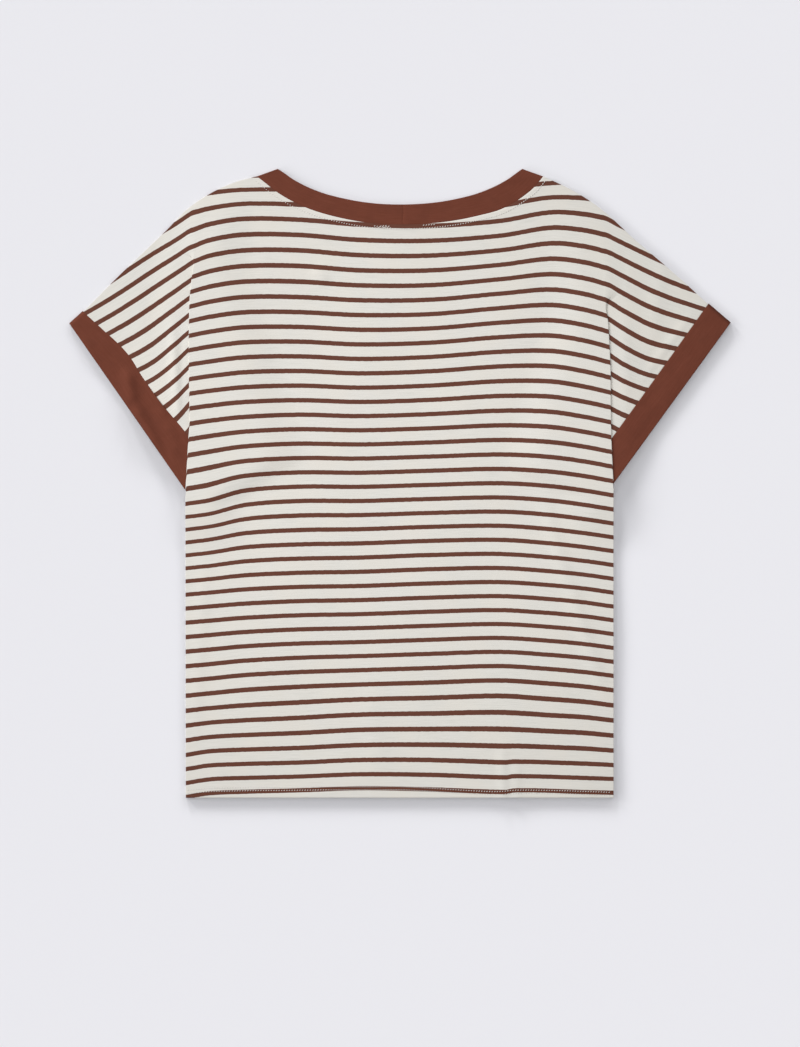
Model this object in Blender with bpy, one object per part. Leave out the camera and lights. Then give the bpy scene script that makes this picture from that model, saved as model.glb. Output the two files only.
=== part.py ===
"""A boxy striped jersey T-shirt, laid flat on its front with the back up.

Five cloth walls: a back and a front panel, each with short sleeves cut in one with it, a neckband
loop and a band round each sleeve opening. Both sleeves are turned down, so that under each arm the
cloth lies in an inward pleat of six layers: the front's body, pleat and sleeve, then the back's.

Sizes are in millimetres. "out" is measured from the centre line towards a sleeve, "drop" from the
neck tips towards the hem, and "rise" from the surface that the shirt lies on.
"""

import math
from collections import namedtuple

import bmesh
import bpy

MM = 0.001

# Cloth
CLOTH = 1.0  # wall of every piece
GAP = 0.3  # between neighbouring layers and across a seam
PITCH = CLOTH + GAP  # from one layer's middle to the next
TURN = PITCH / 2  # radius of a sharp fold, at the cloth's middle
FOLD_REACH = TURN + CLOTH / 2  # how far a sharp fold stands out past its own line
FRONT_RISE = CLOTH / 2
BACK_RISE = FRONT_RISE + PITCH

# Body
LENGTH = 628.5  # neck tips to hem

# Neck
BAND_HALF = 122.4  # centre line to the neckband's tips, at its free edge
NECK_HALF = 143.2  # the same at its seam
NECK_TIP_DROP = 7.5  # the seam's tips lie this far below the free edge's tips
# Shapes of the neck's curves: share of the half width, negative to the left, and share of the depth
LEFT_SHAPE = (
    (-1.0, 0.0), (-0.94, 0.137), (-0.87, 0.305), (-0.75, 0.52), (-0.6, 0.712), (-0.4, 0.873), (-0.2, 0.972),
)
EDGE_SHAPE = LEFT_SHAPE + (
    (0.0, 1.0), (0.2, 0.974), (0.4, 0.885), (0.6, 0.727), (0.75, 0.535), (0.87, 0.32), (0.94, 0.152),
    (1.0, 0.0),
)
SEAM_SHAPE = LEFT_SHAPE + (
    (0.0, 1.0), (0.2, 0.98), (0.4, 0.908), (0.6, 0.779), (0.7, 0.69), (0.8, 0.538), (0.9, 0.324), (1.0, 0.0),
)
FRONT_SHAPE = tuple((i / 10, 1 - abs(i / 10) ** 2.2) for i in range(-10, 11))
NeckCurve = namedtuple("NeckCurve", "half tip_drop depth shape")
BACK_NECK_SEAM = NeckCurve(half=NECK_HALF, tip_drop=NECK_TIP_DROP, depth=48.1, shape=SEAM_SHAPE)
BACK_NECK_EDGE = NeckCurve(half=BAND_HALF, tip_drop=0.0, depth=35.8, shape=EDGE_SHAPE)
FRONT_NECK_SEAM = NeckCurve(half=NECK_HALF, tip_drop=NECK_TIP_DROP, depth=98.5, shape=FRONT_SHAPE)
FRONT_NECK_EDGE = NeckCurve(half=BAND_HALF, tip_drop=0.0, depth=85.0, shape=FRONT_SHAPE)

# Pleat under each arm: its hidden fold leaves the top of the visible one at this angle
PLEAT_ANGLE = math.radians(16)

# Where the pleat grows out of the smooth shoulder, a row for each section:
# share of the way from shoulder to pleat top, turn in degrees, length of each bend, length between bends
PleatStart = namedtuple("PleatStart", "share turn bend middle")
PLEAT_START = (
    PleatStart(share=0.00, turn=0, bend=2.5, middle=6.0),
    PleatStart(share=0.42, turn=8, bend=2.5, middle=6.0),
    PleatStart(share=0.70, turn=22, bend=2.2, middle=4.0),
    PleatStart(share=0.84, turn=48, bend=1.7, middle=1.3),
    PleatStart(share=0.93, turn=85, bend=1.5, middle=0.7),
    PleatStart(share=1.00, turn=130, bend=1.7, middle=0.3),
)
# Down the finished pleat: share of the way from its top to the underarm
PLEAT_ROWS = (0.05, 0.13, 0.25, 0.38, 0.52, 0.66, 0.80, 0.90, 1.0)
# Below the underarm: share of the way from the underarm to the hem
LOWER_ROWS = (0.05, 0.11, 0.19, 0.30, 0.42, 0.55, 0.70, 0.85, 1.0)

# How layers come down from the pleat to where they lie flat: the flat margin, then the slope
UNDER_BODY = (15.0, 26.0)
BESIDE_BODY = (13.0, 20.0)
BELOW_PLEAT = (12.0, 30.0)

# Columns
NECK_COLUMNS = 20
SHOULDER_COLUMNS = (0.3, 0.55, 0.75, 0.89, 1.0)  # share of the way from neck tip to sleeve fold
SLEEVE_COLUMNS = 9
BEND_STEPS = 4
MIDDLE_STEPS = 2
NECKBAND_COLUMNS = 2
CUFF_COLUMNS = 4
TIP_GAP = 0.6  # from the neckband's folded tips to the panels
CUFF_TOP_SKEW = 2.3  # a cuff's seam starts this far above square

# Each side is traced by short tables: (out, drop) along the shoulder from the neck tip, (drop, out)
# down the edge of the body over the sleeve, and (share down the cuff, width) for the cuff.
# pleat_reach is the length of the pleat's hidden fold.
Side = namedtuple(
    "Side", "name sign shoulder body_edge pleat_top pleat_reach underarm cuff_tip cuff_width hem_out"
)
LEFT = Side(
    name="left",
    sign=-1,
    shoulder=(
        (143.2, 7.5), (165.0, 13.4), (188.0, 23.8), (212.0, 39.9), (235.0, 63.1), (281.0, 107.0),
        (316.5, 142.8),
    ),
    body_edge=(
        (30.0, 201.0), (75.0, 203.5), (92.0, 205.8), (112.0, 208.8), (130.0, 210.5), (186.0, 211.2),
        (251.0, 210.4), (271.0, 211.7), (321.0, 214.4),
    ),
    pleat_top=89.0,
    pleat_reach=197.0,
    underarm=321.0,
    cuff_tip=(330.0, 155.0),
    cuff_width=(
        (0.0, 18.0), (0.13, 24.0), (0.24, 29.0), (0.32, 30.5), (0.42, 29.3), (0.59, 29.6), (0.79, 33.0),
        (1.0, 28.0),
    ),
    hem_out=214.0,
)
RIGHT = Side(
    name="right",
    sign=1,
    shoulder=((143.2, 7.5), (175.0, 23.0), (202.0, 41.0), (235.0, 71.0), (277.0, 107.0), (307.9, 135.2)),
    body_edge=(
        (30.0, 198.0), (101.0, 205.0), (123.0, 206.5), (148.5, 208.2), (173.5, 209.6), (196.0, 210.6),
        (261.0, 211.2), (281.0, 211.9), (314.3, 213.4),
    ),
    pleat_top=134.0,
    pleat_reach=160.0,
    underarm=314.3,
    cuff_tip=(330.0, 154.2),
    cuff_width=((0.0, 29.0), (0.5, 28.0), (1.0, 28.0)),
    hem_out=213.5,
)

CREAM = (0.76, 0.73, 0.68)
BROWN = (0.15, 0.052, 0.032)
ROUGHNESS = 0.9


def smooth(share):
    """0 to 1 with level ends."""
    share = min(max(share, 0.0), 1.0)
    return share * share * (3 - 2 * share)


def mix(start, end, share):
    return start + (end - start) * share


def mix_point(start, end, share):
    return tuple(mix(a, b, share) for a, b in zip(start, end))


def read_table(table, at):
    """A smooth curve through a table of (position, value) rows."""
    slopes = [
        (table[min(i + 1, len(table) - 1)][1] - table[max(i - 1, 0)][1])
        / (table[min(i + 1, len(table) - 1)][0] - table[max(i - 1, 0)][0])
        for i in range(len(table))
    ]
    at = min(max(at, table[0][0]), table[-1][0])
    i = max(i for i in range(len(table) - 1) if table[i][0] <= at)
    (x0, y0), (x1, y1) = table[i], table[i + 1]
    width = x1 - x0
    s = (at - x0) / width
    rise = y0 * (1 + 2 * s) * (1 - s) ** 2 + y1 * s * s * (3 - 2 * s)
    return rise + width * (slopes[i] * s * (1 - s) ** 2 + slopes[i + 1] * s * s * (s - 1))


def neck_point(curve, share):
    """(across, drop) on a neck curve, share being -1 at the left tip and 1 at the right one."""
    return curve.half * share, curve.tip_drop + curve.depth * read_table(curve.shape, share)


def neck_shares():
    return [2 * i / NECK_COLUMNS - 1 for i in range(NECK_COLUMNS + 1)]


def shoulder_drop(side, out):
    return read_table(side.shoulder, out)


def fold_out(side, drop):
    """Where the body's edge folds over the sleeve, at the cloth's middle."""
    return read_table(side.body_edge, drop) - FOLD_REACH


def top_drop(neck, across):
    """Drop of a panel's top edge: the neck seam, and the shoulders beside it."""
    if abs(across) <= NECK_HALF:
        return neck_point(neck, across / NECK_HALF)[1]
    return shoulder_drop(RIGHT if across > 0 else LEFT, abs(across))


# One section across the pleat: the drop of its row, its steps (out, share from the body's fold to the
# hidden one, fall) from the body to the sleeve, and the whole fall
Section = namedtuple("Section", "drop steps fall")


def bends(turn, bend, middle, reach):
    """Steps of a section: a bend outwards and down, a straight stretch, and the bend back.

    reach is the straight stretch's length across, which differs from middle only where the cloth
    is folded right over.
    """
    radius = bend / turn if turn else 0.0
    steps = []
    for i in range(BEND_STEPS + 1):
        angle = turn * i / BEND_STEPS
        out = radius * math.sin(angle) if turn else bend * i / BEND_STEPS
        steps.append((out, 0.0, radius * (1 - math.cos(angle))))
    end_out, _, end_fall = steps[-1]
    fall = 2 * end_fall + middle * math.sin(turn)
    whole = 2 * end_out + reach * math.cos(turn)
    for i in range(1, MIDDLE_STEPS):
        share = i / MIDDLE_STEPS
        steps.append((mix(end_out, whole - end_out, share), share, mix(end_fall, fall - end_fall, share)))
    steps += [(whole - out, 1.0, fall - down) for out, _, down in reversed(steps[: BEND_STEPS + 1])]
    return steps, fall


def hidden_fold(side, share):
    """(out, drop) on the pleat's hidden fold, from its top to the underarm seam."""
    reach = side.pleat_reach * share
    top_out = fold_out(side, side.pleat_top)
    return top_out - reach * math.sin(PLEAT_ANGLE), side.pleat_top + reach * math.cos(PLEAT_ANGLE)


def pleat_sections(side):
    """Sections from the shoulder to the underarm."""
    shoulder = shoulder_drop(side, fold_out(side, side.body_edge[0][0]))
    sections = []
    for row in PLEAT_START:
        steps, fall = bends(math.radians(row.turn), row.bend, row.middle, row.middle)
        sections.append(Section(mix(shoulder, side.pleat_top, row.share), steps, fall))
    for share in PLEAT_ROWS:
        drop = mix(side.pleat_top, side.underarm, share)
        hidden_out = hidden_fold(side, share)[0]
        steps, fall = bends(math.pi, math.pi * TURN, 0.0, fold_out(side, drop) - hidden_out)
        sections.append(Section(drop, steps, fall))
    return sections


SECTIONS = {side.name: pleat_sections(side) for side in (LEFT, RIGHT)}
ARM_ROWS = len(PLEAT_START) + len(PLEAT_ROWS)


def growing_drop(side, row, out):
    """Drop of a row above the pleat's top, where it crosses the growing pleat."""
    return mix(shoulder_drop(side, out), side.pleat_top, PLEAT_START[row].share)


def row_share(side, row):
    """How far down from the shoulder to the underarm a row lies."""
    sections = SECTIONS[side.name]
    return (sections[row].drop - sections[0].drop) / (side.underarm - sections[0].drop)


def pleat_depth(side, drop):
    """How far in from the body's fold the hidden layers reach, with a margin below them."""
    margin = BELOW_PLEAT[0]
    hidden_out, hidden_end = hidden_fold(side, 1)
    if drop <= side.pleat_top:
        return 0.0
    if drop <= hidden_end:
        share = (drop - side.pleat_top) / (hidden_end - side.pleat_top)
        return fold_out(side, drop) - hidden_fold(side, share)[0]
    deepest = fold_out(side, hidden_end) - hidden_out
    above_underarm = (side.underarm + margin - drop) / (side.underarm - hidden_end)
    return deepest * min(max(above_underarm, 0.0), 1.0)


def slope_down(distance, margin_and_slope):
    margin, slope = margin_and_slope
    return 1 - smooth((distance - margin) / slope)


def body_lift(side, out, drop, row):
    """How far the pleat lifts the back's body, which lies over it."""
    fall = SECTIONS[side.name][min(row, ARM_ROWS - 1)].fall
    inside = fold_out(side, drop) - out - pleat_depth(side, drop)
    below = slope_down(drop - side.underarm, BELOW_PLEAT)
    return 2 * fall * slope_down(inside, UNDER_BODY) * below


def sleeve_lift(side, out, drop, row):
    """How far the front's fold lifts the sleeve and cuff, which lie over it."""
    outside = out - read_table(side.body_edge, drop)
    return SECTIONS[side.name][row].fall * slope_down(outside, BESIDE_BODY)


def cuff_outer(side, share):
    """(out, drop) on a cuff's outer edge, from its top fold to the underarm."""
    underarm = (read_table(side.body_edge, side.underarm), side.underarm)
    return mix_point(side.cuff_tip, underarm, share)


def cuff_inwards(side):
    """Unit direction, in (out, drop), from a cuff's outer edge to its seam."""
    (out0, drop0), (out1, drop1) = cuff_outer(side, 0), cuff_outer(side, 1)
    length = math.hypot(out1 - out0, drop1 - drop0)
    return (drop0 - drop1) / length, (out1 - out0) / length


def cuff_seam(side, share):
    """(out, drop) on the seam between sleeve and cuff."""
    out, drop = cuff_outer(side, share)
    in_out, in_drop = cuff_inwards(side)
    width = read_table(side.cuff_width, share)
    skew = CUFF_TOP_SKEW * (1 - share)
    return out + width * in_out - skew * in_drop, drop + width * in_drop + skew * in_out


def sleeve_row(side, row):
    """(out, drop) of a sleeve's points in a row, from the hidden fold to the cuff seam."""
    section = SECTIONS[side.name][row]
    out = fold_out(side, section.drop) + section.steps[-1][0]
    if row < len(PLEAT_START):
        start = (out, growing_drop(side, row, out))
    else:
        start = (out, hidden_fold(side, PLEAT_ROWS[row - len(PLEAT_START)])[1])
    down = row_share(side, row)
    end = cuff_seam(side, down)
    points = []
    for i in range(SLEEVE_COLUMNS + 1):
        out, drop = mix_point(start, end, i / SLEEVE_COLUMNS)
        top_start, top_end = SHOULDER_SPAN[side.name]
        top_out = mix(top_start, top_end, i / SLEEVE_COLUMNS)
        straight = mix(shoulder_drop(side, top_start), shoulder_drop(side, top_end), i / SLEEVE_COLUMNS)
        curve = (shoulder_drop(side, top_out) - straight) * (1 - down)
        points.append((out, drop + curve))
    return points


def shoulder_span(side):
    """out of the sleeve's first and last points along the shoulder."""
    section = SECTIONS[side.name][0]
    return fold_out(side, section.drop) + section.steps[-1][0], cuff_seam(side, 0)[0]


SHOULDER_SPAN = {side.name: shoulder_span(side) for side in (LEFT, RIGHT)}


def body_across(row_drop_left, row_drop_right):
    """Across positions of the body's columns, from the left fold to the right one."""
    neck = [NECK_HALF * share for share in neck_shares()]
    left_fold = body_fold_out(LEFT, row_drop_left)
    right_fold = body_fold_out(RIGHT, row_drop_right)
    left = [-mix(NECK_HALF, left_fold, share) for share in reversed(SHOULDER_COLUMNS)]
    right = [mix(NECK_HALF, right_fold, share) for share in SHOULDER_COLUMNS]
    return left + neck + right


def body_fold_out(side, drop):
    """out of the body's side: its fold beside the sleeve, and its seam edge below the underarm."""
    if drop <= side.underarm:
        return fold_out(side, drop)
    straight = (drop - side.underarm) / (LENGTH - side.underarm)
    return mix(read_table(side.body_edge, side.underarm), side.hem_out, straight)


def body_row(neck, row):
    """(across, drop) of the body's points in a row, from the left fold to the right one."""
    if row < ARM_ROWS:
        left_drop = SECTIONS["left"][row].drop
        right_drop = SECTIONS["right"][row].drop
    else:
        share = LOWER_ROWS[row - ARM_ROWS]
        left_drop = mix(LEFT.underarm, LENGTH, share)
        right_drop = mix(RIGHT.underarm, LENGTH, share)
    columns = body_across(left_drop, right_drop)
    points = []
    for across in columns:
        to_right = (across - columns[0]) / (columns[-1] - columns[0])
        underarm = mix(LEFT.underarm, RIGHT.underarm, to_right)
        if row < ARM_ROWS:
            top = top_drop(neck, across)
            share = mix(row_share(LEFT, row), row_share(RIGHT, row), to_right)
            points.append((across, mix(top, underarm, share)))
        else:
            points.append((across, mix(underarm, LENGTH, LOWER_ROWS[row - ARM_ROWS])))
    return points


Panel = namedtuple("Panel", "neck rise body_gain fall_sign")
BACK = Panel(neck=BACK_NECK_SEAM, rise=BACK_RISE, body_gain=1, fall_sign=-1)
FRONT = Panel(neck=FRONT_NECK_SEAM, rise=FRONT_RISE, body_gain=0, fall_sign=1)


def pleat_row(panel, side, row, fold):
    """(out, drop, rise) of the points between the body's fold and the sleeve, both left out."""
    section = SECTIONS[side.name][row]
    out, drop, rise = fold
    last_drop = sleeve_row(side, row)[0][1]
    points = []
    for step_out, share, fall in section.steps[1:-1]:
        if row < len(PLEAT_START):
            step_drop = growing_drop(side, row, out + step_out)
        else:
            step_drop = mix(drop, last_drop, share)
        points.append((out + step_out, step_drop, rise + panel.fall_sign * fall))
    return points


def panel_row(panel, row):
    """A panel's points in a row, from the left cuff seam to the right one."""
    body = []
    for across, drop in body_row(panel.neck, row):
        side = RIGHT if across > 0 else LEFT
        body.append((across, drop, panel.rise + panel.body_gain * body_lift(side, abs(across), drop, row)))
    if row >= ARM_ROWS:
        return body
    arms = {}
    for side, fold in ((LEFT, body[0]), (RIGHT, body[-1])):
        pleat = pleat_row(panel, side, row, (abs(fold[0]), fold[1], fold[2]))
        sleeve = [
            (out, drop, panel.rise + sleeve_lift(side, out, drop, row)) for out, drop in sleeve_row(side, row)
        ]
        arms[side.name] = [(side.sign * out, drop, rise) for out, drop, rise in pleat + sleeve]
    return arms["left"][::-1] + body + arms["right"]


def panel_rows(panel):
    return [panel_row(panel, row) for row in range(ARM_ROWS + len(LOWER_ROWS))]


def end_fold(rise):
    """(distance back from the end, rise) of the steps round a band's end, from one layer to the other."""
    down = -1 if rise == BACK_RISE else 1
    steps = []
    for i in range(1, BEND_STEPS):
        angle = math.pi * i / BEND_STEPS
        steps.append((FOLD_REACH - TURN * math.sin(angle), rise + down * TURN * (1 - math.cos(angle))))
    return steps


def neckband_station(seam, edge, share, back_up, rise):
    """Points across the neckband from its free edge to its seam, drawn back from the tips."""
    nearer = share - math.copysign(1 / NECK_COLUMNS, share)
    points = []
    for curve in (edge, seam):
        point = neck_point(curve, share)
        inner = neck_point(curve, nearer)
        points.append(mix_point(point, inner, back_up / math.dist(point, inner)))
    free, sewn = points
    clear = TIP_GAP if back_up else GAP
    sewn = mix_point(sewn, free, clear / math.dist(sewn, free))
    return [mix_point(free, sewn, i / NECKBAND_COLUMNS) + (rise,) for i in range(NECKBAND_COLUMNS + 1)]


def neckband_rows():
    """Stations round the neckband: across the back, round the right tip, back along the front."""
    shares = neck_shares()
    rows = []
    for seam, edge, rise, run in (
        (BACK_NECK_SEAM, BACK_NECK_EDGE, BACK_RISE, shares),
        (FRONT_NECK_SEAM, FRONT_NECK_EDGE, FRONT_RISE, shares[::-1]),
    ):
        for share in run:
            at_tip = abs(share) == 1
            rows.append(neckband_station(seam, edge, share, FOLD_REACH if at_tip else 0.0, rise))
        for back_up, height in end_fold(rise):
            rows.append(neckband_station(BACK_NECK_SEAM, BACK_NECK_EDGE, run[-1], back_up, height))
    return rows


def cuff_station(side, row, back_up, rise):
    """Points across a cuff from its outer edge to its seam, drawn back from its end folds."""
    share = row_share(side, row)
    outer = cuff_outer(side, share)
    seam = cuff_seam(side, share)
    in_out, in_drop = cuff_inwards(side)
    along = (-in_drop, in_out)
    if row == 0:
        along = (in_drop, -in_out)
    width = math.dist(outer, seam)
    seam = mix_point(outer, seam, 1 - GAP / width)
    points = []
    for i in range(CUFF_COLUMNS + 1):
        out, drop = mix_point(outer, seam, i / CUFF_COLUMNS)
        lift = sleeve_lift(side, out, drop, row)
        points.append((out + along[0] * back_up, drop + along[1] * back_up, rise + lift))
    return points


def cuff_rows(side):
    """Stations round a cuff: down its back, round the underarm fold, up its front, round the top."""
    rows = []
    for rise, run in ((BACK_RISE, range(ARM_ROWS)), (FRONT_RISE, reversed(range(ARM_ROWS)))):
        run = list(run)
        for row in run:
            at_end = row in (0, ARM_ROWS - 1)
            rows.append(cuff_station(side, row, FOLD_REACH if at_end else 0.0, rise))
        rows += [cuff_station(side, run[-1], back_up, height) for back_up, height in end_fold(rise)]
    return [[(side.sign * out, drop, height) for out, drop, height in row] for row in rows]


def cloth_material(name, colour):
    material = bpy.data.materials.new(name)
    material.use_nodes = True
    shader = material.node_tree.nodes["Principled BSDF"]
    shader.inputs["Base Color"].default_value = (*colour, 1.0)
    shader.inputs["Roughness"].default_value = ROUGHNESS
    shader.inputs["Metallic"].default_value = 0.0
    material.diffuse_color = (*colour, 1.0)
    return material


def place(bm, point):
    across, drop, rise = point
    return bm.verts.new((across * MM, (LENGTH / 2 - drop) * MM, rise * MM))


def cloth_wall(name, rows, material, ring=False):
    """A closed wall round the middle surface that the rows give. Rows below a panel's arms hold
    only its body, and a ring's last row joins its first one."""
    bm = bmesh.new()
    grid = [[place(bm, point) for point in row] for row in rows]
    if ring:
        grid.append(grid[0])
    for upper, lower in zip(grid, grid[1:]):
        skipped = (len(upper) - len(lower)) // 2
        upper = upper[skipped : len(upper) - skipped]
        for i in range(len(upper) - 1):
            bm.faces.new((upper[i], lower[i], lower[i + 1], upper[i + 1]))
    mesh = bpy.data.meshes.new(name)
    bm.normal_update()
    bm.to_mesh(mesh)
    bm.free()
    mesh.shade_smooth()
    mesh.materials.append(material)
    wall = bpy.data.objects.new(name, mesh)
    bpy.context.scene.collection.objects.link(wall)
    solid = wall.modifiers.new("cloth", "SOLIDIFY")
    solid.thickness = CLOTH * MM
    solid.offset = 0.0
    return wall


def clear_scene():
    for thing in list(bpy.data.objects):
        bpy.data.objects.remove(thing, do_unlink=True)


def build_shirt():
    cream = cloth_material("striped_jersey", CREAM)
    brown = cloth_material("brown_jersey", BROWN)
    cloth_wall("back", panel_rows(BACK), cream)
    cloth_wall("front", panel_rows(FRONT), cream)
    cloth_wall("neckband", neckband_rows(), brown, ring=True)
    cloth_wall("cuff_left", cuff_rows(LEFT), brown, ring=True)
    cloth_wall("cuff_right", cuff_rows(RIGHT), brown, ring=True)


clear_scene()
build_shirt()
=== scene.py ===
"""Striped jersey T-shirt, laid flat with its back up: cloth, stitching and a plain studio.

Every piece is a thin shell on its solid's form. Its sizes are in millimetres: "out" is measured from
the centre line towards a sleeve, "across" from left to right, "drop" from the neck tips towards the hem
and "rise" from the surface that the shirt lies on. Settings, lights and studio are in metres.
"""

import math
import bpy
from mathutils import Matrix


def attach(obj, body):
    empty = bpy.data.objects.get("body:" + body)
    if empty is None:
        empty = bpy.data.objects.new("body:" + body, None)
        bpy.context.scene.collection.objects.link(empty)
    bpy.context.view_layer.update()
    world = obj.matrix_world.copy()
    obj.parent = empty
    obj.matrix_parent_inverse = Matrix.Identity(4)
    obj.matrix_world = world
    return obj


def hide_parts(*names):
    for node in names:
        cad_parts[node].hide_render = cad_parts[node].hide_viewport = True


bl_info = {
    "name": "Striped jersey T-shirt",
    "version": (1, 0, 0),
    "blender": (4, 5, 0),
    "location": "3D View > Sidebar > T-shirt",
    "description": "Lays the shirt's cloth on its frame, sews it and lights it",
    "category": "Object",
}

from collections import namedtuple
from functools import lru_cache

import bpy
import numpy as np
from bpy.props import FloatProperty, FloatVectorProperty, PointerProperty
from mathutils import Vector

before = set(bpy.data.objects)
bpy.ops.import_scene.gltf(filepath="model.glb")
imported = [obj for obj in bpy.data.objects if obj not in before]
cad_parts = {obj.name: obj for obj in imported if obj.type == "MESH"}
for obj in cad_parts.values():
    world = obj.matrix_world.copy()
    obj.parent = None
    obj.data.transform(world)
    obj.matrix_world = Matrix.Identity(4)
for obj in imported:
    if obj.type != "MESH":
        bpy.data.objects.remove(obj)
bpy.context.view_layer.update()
ROOT = "root"
MM = 0.001

# Cloth: every shell is one layer of jersey, and bands and hems are folded double
CLOTH = 0.5
LAYER_PITCH = 0.55  # between the middles of a folded band's two layers
LAYER_HALF = LAYER_PITCH / 2
FRONT_RISE = CLOTH / 2
BACK_RISE = 1.9
MID_RISE = (FRONT_RISE + BACK_RISE) / 2
BAND_TURN = BACK_RISE - LAYER_HALF - MID_RISE  # radius of a folded band's end, between its layers
BAND_FOLD = 0.6  # how far that end reaches, as a share of a round one
BAND_REACH = (BAND_TURN + LAYER_HALF) * BAND_FOLD + CLOTH / 2
ROLL = 1.2  # how near its edge the cloth starts to roll in
OUTLINE_ROLL = 0.05  # how far it rolls in where back and front meet
SEAM_ROLL = 0.30  # and beside a band

# Body
LENGTH = 628.5
HEM_DEPTH = 12.0
# The hem is stitched along the last stripe: its line of (across, drop) places, and how far above that
# line the rows of stitches lie
HEM_LINE = (
    (-214.0, 624.6), (-190.0, 622.8), (-150.0, 621.8), (-110.0, 621.5), (-72.0, 621.1), (-30.0, 621.2),
    (0.0, 621.0), (30.0, 622.5), (60.0, 624.4), (90.0, 625.9), (104.0, 625.6), (113.0, 624.6),
    (140.0, 624.6), (160.0, 625.0), (180.0, 625.6), (200.0, 626.3), (214.0, 626.8),
)
HEM_ROWS = (0.3, 3.5)
HEM_STITCH_END = 1.5  # from the side seams to the first and last stitch

# Neck
BAND_HALF = 122.4
NECK_HALF = 143.2
NECK_TIP_DROP = 7.5
# Shapes of the neck's curves: share of the half width, negative to the left, and share of the depth
LEFT_SHAPE = (
    (-1.0, 0.0), (-0.94, 0.137), (-0.87, 0.305), (-0.75, 0.52), (-0.6, 0.712), (-0.4, 0.873), (-0.2, 0.972),
)
EDGE_SHAPE = LEFT_SHAPE + (
    (0.0, 1.0), (0.2, 0.974), (0.4, 0.885), (0.6, 0.727), (0.75, 0.535), (0.87, 0.32), (0.94, 0.152),
    (1.0, 0.0),
)
SEAM_SHAPE = LEFT_SHAPE + (
    (0.0, 1.0), (0.2, 0.98), (0.4, 0.908), (0.6, 0.779), (0.7, 0.69), (0.8, 0.538), (0.88, 0.372),
    (0.94, 0.219), (1.0, 0.0),
)
FRONT_SHAPE = tuple((i / 10, 1 - abs(i / 10) ** 2.2) for i in range(-10, 11))
NeckCurve = namedtuple("NeckCurve", "half tip_drop depth shape")
BACK_NECK_SEAM = NeckCurve(half=NECK_HALF, tip_drop=NECK_TIP_DROP, depth=48.1, shape=SEAM_SHAPE)
BACK_NECK_EDGE = NeckCurve(half=BAND_HALF, tip_drop=0.0, depth=35.8, shape=EDGE_SHAPE)
FRONT_NECK_SEAM = NeckCurve(half=NECK_HALF, tip_drop=NECK_TIP_DROP, depth=98.5, shape=FRONT_SHAPE)
FRONT_NECK_EDGE = NeckCurve(half=BAND_HALF, tip_drop=0.0, depth=85.0, shape=FRONT_SHAPE)
NECK_NEAR = 0.005  # share of the half width to both sides, over which a curve's direction is read
NECK_STITCH = 4.4  # from the neck seam to its row of stitches
# Short extra rows where the neck's stitching was begun and fastened off: (across, drop) of their ends
BACK_TACKS = (
    ((-26.0, 57.0), (-9.0, 59.0)),
    ((-22.0, 58.6), (-11.0, 60.6)),
    ((-20.0, 57.4), (-12.5, 56.6)),
    ((-17.0, 58.9), (-10.0, 57.2)),
    ((23.0, 56.3), (35.5, 55.6)),
)
STITCH_SLANT = 0.5  # how far each stitch leans to either side of its row

# Relief of the sewing: how high the cloth rises over an allowance, and dips at a row of stitches
NECK_RELIEF = 0.22
NECK_SLOPES = (1.5, 1.6)  # beside the seam, and beyond its stitches
HEM_RELIEF = 0.12
HEM_SLOPE = 3.0
STITCH_DIP = 0.16
NECK_DIP_WIDTH = 0.7
HEM_DIP_WIDTH = 0.8

# Pleat under each arm
TURN = 0.42
FOLD_REACH = TURN + CLOTH / 2
PLEAT_ANGLE = math.radians(16)
PLEAT_TOP_ROW = 0.2  # a panel's rows run from 0 at the shoulders over 1 at the underarms to 2 at the hem
PLEAT_CLOSING = 0.05  # share of the pleat's length over which its bends close to sharp folds
# How the pleat grows from the smooth shoulder, by share of the way to its top: its whole fall, the
# length of each of its two bends and that of the slope between them
START_FALL = ((0.0, 0.0), (0.5, 0.93), (0.8, 1.45), (1.0, 4 * TURN))
START_BEND = ((0.0, 9.0), (0.42, 8.0), (0.70, 7.0), (0.84, 6.0), (0.93, 4.0), (1.0, 2.1))
START_MIDDLE = ((0.0, 14.0), (0.42, 12.0), (0.70, 9.0), (0.84, 8.0), (0.93, 4.0), (1.0, 0.0))
TURN_HALVINGS = 40  # of the range in which a bend's turn is sought

# How layers come down from the pleat to where they lie flat: the flat margin, then the slope
UNDER_BODY = (15.0, 45.0)
BESIDE_BODY = (13.0, 32.0)
BELOW_PLEAT = (12.0, 55.0)
UNDERARM_EASE = 8.0  # drop over which the pleat's last fold runs out into the side seam

CUFF_TOP_SKEW = 2.3
Side = namedtuple(
    "Side", "name sign shoulder body_edge pleat_top pleat_reach underarm cuff_tip cuff_width hem_out"
)
LEFT = Side(
    name="left",
    sign=-1,
    shoulder=(
        (143.2, 7.5), (165.0, 13.4), (188.0, 23.8), (212.0, 39.9), (235.0, 63.1), (281.0, 107.0),
        (316.5, 142.8),
    ),
    body_edge=(
        (30.0, 201.0), (75.0, 204.2), (92.0, 206.5), (112.0, 209.0), (130.0, 210.5), (186.0, 211.2),
        (251.0, 210.4), (271.0, 211.7), (321.0, 214.4),
    ),
    pleat_top=89.0,
    pleat_reach=197.0,
    underarm=321.0,
    cuff_tip=(330.0, 155.0),
    cuff_width=(
        (0.0, 18.0), (0.13, 24.0), (0.24, 29.0), (0.32, 30.5), (0.42, 29.3), (0.59, 29.6), (0.79, 33.0),
        (1.0, 28.0),
    ),
    hem_out=214.0,
)
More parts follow.
